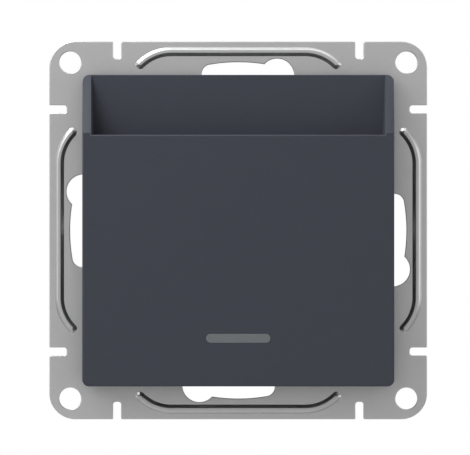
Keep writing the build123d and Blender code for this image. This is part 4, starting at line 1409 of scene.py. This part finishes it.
@dataclass
class Microswitch:
    """Snap switch in the housing: case, lid, plunger, blade and contacts."""

    pieces: tuple[tuple[str, str, float], ...] = (
        ("microswitch_case", "snap_switch_case", 0.05 * MM),
        ("microswitch_lid", "snap_switch_lid", 0.08 * MM),
        ("microswitch_plunger", "snap_switch_plunger", 0.08 * MM),
        ("contact_blade", "snap_switch_blade", 0.03 * MM),
        ("common_tab", "snap_switch_common", 0.03 * MM),
        ("rest_contact", "snap_switch_rest", 0.0),
        ("made_contact", "snap_switch_made", 0.0),
    )
    hole_pitch: float = 9.5 * MM
    screw_radius: float = 0.95 * MM
    screw_head_height: float = 0.8 * MM
    screw_pitch: float = 0.4 * MM
    thread_depth: float = 0.18 * MM
    slot_width: float = 0.45 * MM
    slot_depth: float = 0.4 * MM

    def build(self) -> None:
        """Make every piece of the switch and its two screws."""
        for node, name, rounding in self.pieces:
            dressed(node, name, rounding)
        low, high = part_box("switch_screws")
        head_radius = (high.x - low.x - self.hole_pitch) / 2
        seat_level = high.z - self.screw_head_height
        seat_point = (low.x + head_radius, (low.y + high.y) / 2, seat_level)
        ScrewRow("snap_switch_screws", seat_point, HEAD_UP, self.screw_radius, seat_level - low.z,
                 head_radius, self.screw_head_height, Drive.SLOT, self.screw_pitch, 2, self.hole_pitch,
                 self.thread_depth, self.slot_width, self.slot_depth).build("switch_screws", BRIGHT_STEEL)


@dataclass
class Terminals:
    """Three lift clamps with their strips and screws."""

    rounding: float = 0.1 * MM
    wires: tuple[str, ...] = ("live", "load", "neutral")
    screw_radius: float = 1.6 * MM
    screw_head_height: float = 2.0 * MM
    screw_pitch: float = 0.6 * MM

    def build(self) -> None:
        """Make the clamps, strips and screws."""
        for wire in self.wires:
            dressed("strip_" + wire, "brass_strip_" + wire, self.rounding)
            dressed("terminal_cage_" + wire, "clamp_cage_" + wire, self.rounding)
            node = "terminal_screw_" + wire
            low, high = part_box(node)
            middle = (low + high) / 2
            seat_level = high.z - self.screw_head_height
            ScrewRow("clamp_screw_" + wire, (middle.x, middle.y, seat_level), HEAD_UP, self.screw_radius,
                     seat_level - low.z, (high.x - low.x) / 2, self.screw_head_height, Drive.SLOT,
                     self.screw_pitch).build(node, BRIGHT_STEEL)


@dataclass
class WallHousing:
    """Insulating housing behind the plate with its fixing screws."""

    rounding: float = 0.2 * MM
    screw_radius: float = 1.45 * MM
    screw_head_radius: float = 2.7 * MM
    screw_head_height: float = 1.8 * MM
    screw_pitch: float = 0.8 * MM

    def build(self) -> None:
        """Make the housing and the carrier's screws."""
        dressed("rear_housing", "wall_housing", self.rounding)
        low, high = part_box("carrier_screws")
        first = low.x + self.screw_head_radius
        seat_level = low.y + self.screw_head_height
        ScrewRow("fixing_screws", (first, seat_level, (low.z + high.z) / 2), HEAD_FORWARD,
                 self.screw_radius, high.y - seat_level, self.screw_head_radius, self.screw_head_height,
                 Drive.CROSS, self.screw_pitch, 2, -2 * first).build("carrier_screws", BRIGHT_STEEL)


@dataclass
class Claws:
    """Spreading claws with their pins, wedge nuts and screws."""

    rounding: float = 0.1 * MM
    sides: tuple[tuple[str, int], ...] = (("right", 1), ("left", -1))
    screw_offset: float = 23.6 * MM
    screw_radius: float = 1.25 * MM
    screw_head_radius: float = 2.4 * MM
    screw_head_height: float = 1.7 * MM
    screw_pitch: float = 0.45 * MM

    def build(self) -> None:
        """Make both claws."""
        for side, sign in self.sides:
            dressed("claw_" + side, "spread_claw_" + side, self.rounding)
            dressed("claw_pin_" + side, "spread_pin_" + side, self.rounding, BRIGHT_STEEL)
            dressed("claw_nut_" + side, "wedge_nut_" + side, self.rounding)
            node = "claw_screw_" + side
            low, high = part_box(node)
            seat_level = low.y + self.screw_head_height
            ScrewRow("spread_screw_" + side, (sign * self.screw_offset, seat_level, 0.0), HEAD_FORWARD,
                     self.screw_radius, high.y - seat_level, self.screw_head_radius,
                     self.screw_head_height, Drive.CROSS, self.screw_pitch).build(node, BRIGHT_STEEL)


@dataclass(frozen=True)
class Softbox:
    """One square area lamp that faces the object."""

    name: str
    place: Point
    side: float
    radiance: float

    def build(self) -> None:
        """Add the lamp, which no camera sees."""
        data = bpy.data.lights.new(self.name, "AREA")
        data.size = self.side
        data.energy = math.pi * self.side ** 2 * self.radiance
        thing = link_object(self.name, data)
        thing.location = self.place
        thing.rotation_euler = (-Vector(self.place)).to_track_quat("-Z", "Y").to_euler()
        thing.visible_camera = False


@dataclass
class Studio:
    """Plain pale floor, soft lights, white background and the photograph's camera."""

    camera_distance: float = 2.0
    sensor_width: float = 36.0
    floor_half: float = 1.2
    floor_drop: float = 0.1
    floor_colour: Colour = (0.82, 0.82, 0.82)
    floor_darkest: float = 0.98
    floor_cloud: float = 0.2
    floor_roughness: float = 0.9
    floor_specular: float = 0.1
    glossy_world: float = 0.8
    diffuse_world: float = 0.19
    lamps: tuple[Softbox, ...] = (
        Softbox("key_lamp", (-0.6, -0.8, 0.55), 0.7, 3.95),
        Softbox("top_lamp", (-0.12, -0.12, 0.42), 0.3, 1.5),
        Softbox("near_lamp_left", (-0.14, -0.04, 0.24), 0.16, 9.2),
        Softbox("near_lamp_right", (0.1, -0.04, 0.24), 0.16, 1.4),
        Softbox("left_lamp", (-0.9, -0.35, 0.1), 0.6, 0.7),
        Softbox("right_lamp", (0.9, -0.35, 0.1), 0.6, 2.0),
    )

    def camera(self) -> None:
        """Place the camera square in front, with the small shift of the photograph's framing."""
        low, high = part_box("mounting_plate")
        seen_width = (high.x - low.x) * FRAME_WIDTH_PX / PLATE_WIDTH_PX
        data = bpy.data.cameras.new("front_camera")
        data.sensor_width = self.sensor_width
        data.lens = self.sensor_width * self.camera_distance / seen_width
        data.shift_x = (FRAME_WIDTH_PX / 2 - CENTRE_X_PX) / FRAME_WIDTH_PX
        data.shift_y = (CENTRE_Y_PX - FRAME_HEIGHT_PX / 2) / FRAME_WIDTH_PX
        thing = link_object("front_camera", data)
        thing.location = (0.0, -self.camera_distance, 0.0)
        thing.rotation_euler = (QUARTER_TURN, 0.0, 0.0)
        bpy.context.scene.camera = thing

    def world(self) -> None:
        """White for the camera and for reflections, and a softer light for matt surfaces."""
        world = bpy.data.worlds.new("studio_world")
        world.use_nodes = True
        bpy.context.scene.world = world
        graph = Graph(world.node_tree)
        rays = graph.add("ShaderNodeLightPath").outputs
        mirrored = graph.times(rays["Is Glossy Ray"], self.glossy_world)
        matt = graph.times(rays["Is Diffuse Ray"], self.diffuse_world)
        strength = graph.most(rays["Is Camera Ray"], rays["Is Transmission Ray"], mirrored, matt)
        background = world.node_tree.nodes["Background"].inputs
        graph.feed(background["Color"], WHITE)
        graph.feed(background["Strength"], strength)

    def floor(self) -> None:
        """A pale floor well below the object."""
        graph = SurfaceGraph("studio_floor")
        cloud = graph.noise(self.floor_cloud)
        darker = shade(self.floor_colour, self.floor_darkest)
        graph.set(Base_Color=graph.two_tones(cloud, darker, self.floor_colour),
                  Roughness=self.floor_roughness, Specular_IOR_Level=self.floor_specular)
        level = CAD_BOX[0].z - self.floor_drop
        half = self.floor_half
        mesh = bpy.data.meshes.new("studio_floor")
        corners = [(-half, -half, level), (half, -half, level), (half, half, level), (-half, half, level)]
        mesh.from_pydata(corners, [], [(0, 1, 2, 3)])
        mesh.materials.append(graph.material)
        link_object("studio_floor", mesh)

    def build(self) -> None:
        """Set up the whole studio."""
        bpy.context.scene.view_settings.view_transform = "Standard"
        self.camera()
        self.world()
        self.floor()
        for lamp in self.lamps:
            lamp.build()


def main() -> None:
    """Build every sub-assembly in order and report each one."""
    logging.basicConfig(level=logging.INFO, format="%(name)s: %(message)s")
    assemblies = (Studio(), SupportPlate(), CardCover(), LeverMechanism(), Indicator(), Microswitch(),
                  Terminals(), WallHousing(), Claws())
    for assembly in assemblies:
        assembly.build()
        log.info("%s is built", type(assembly).__name__)


if __name__ == "__main__":
    main()
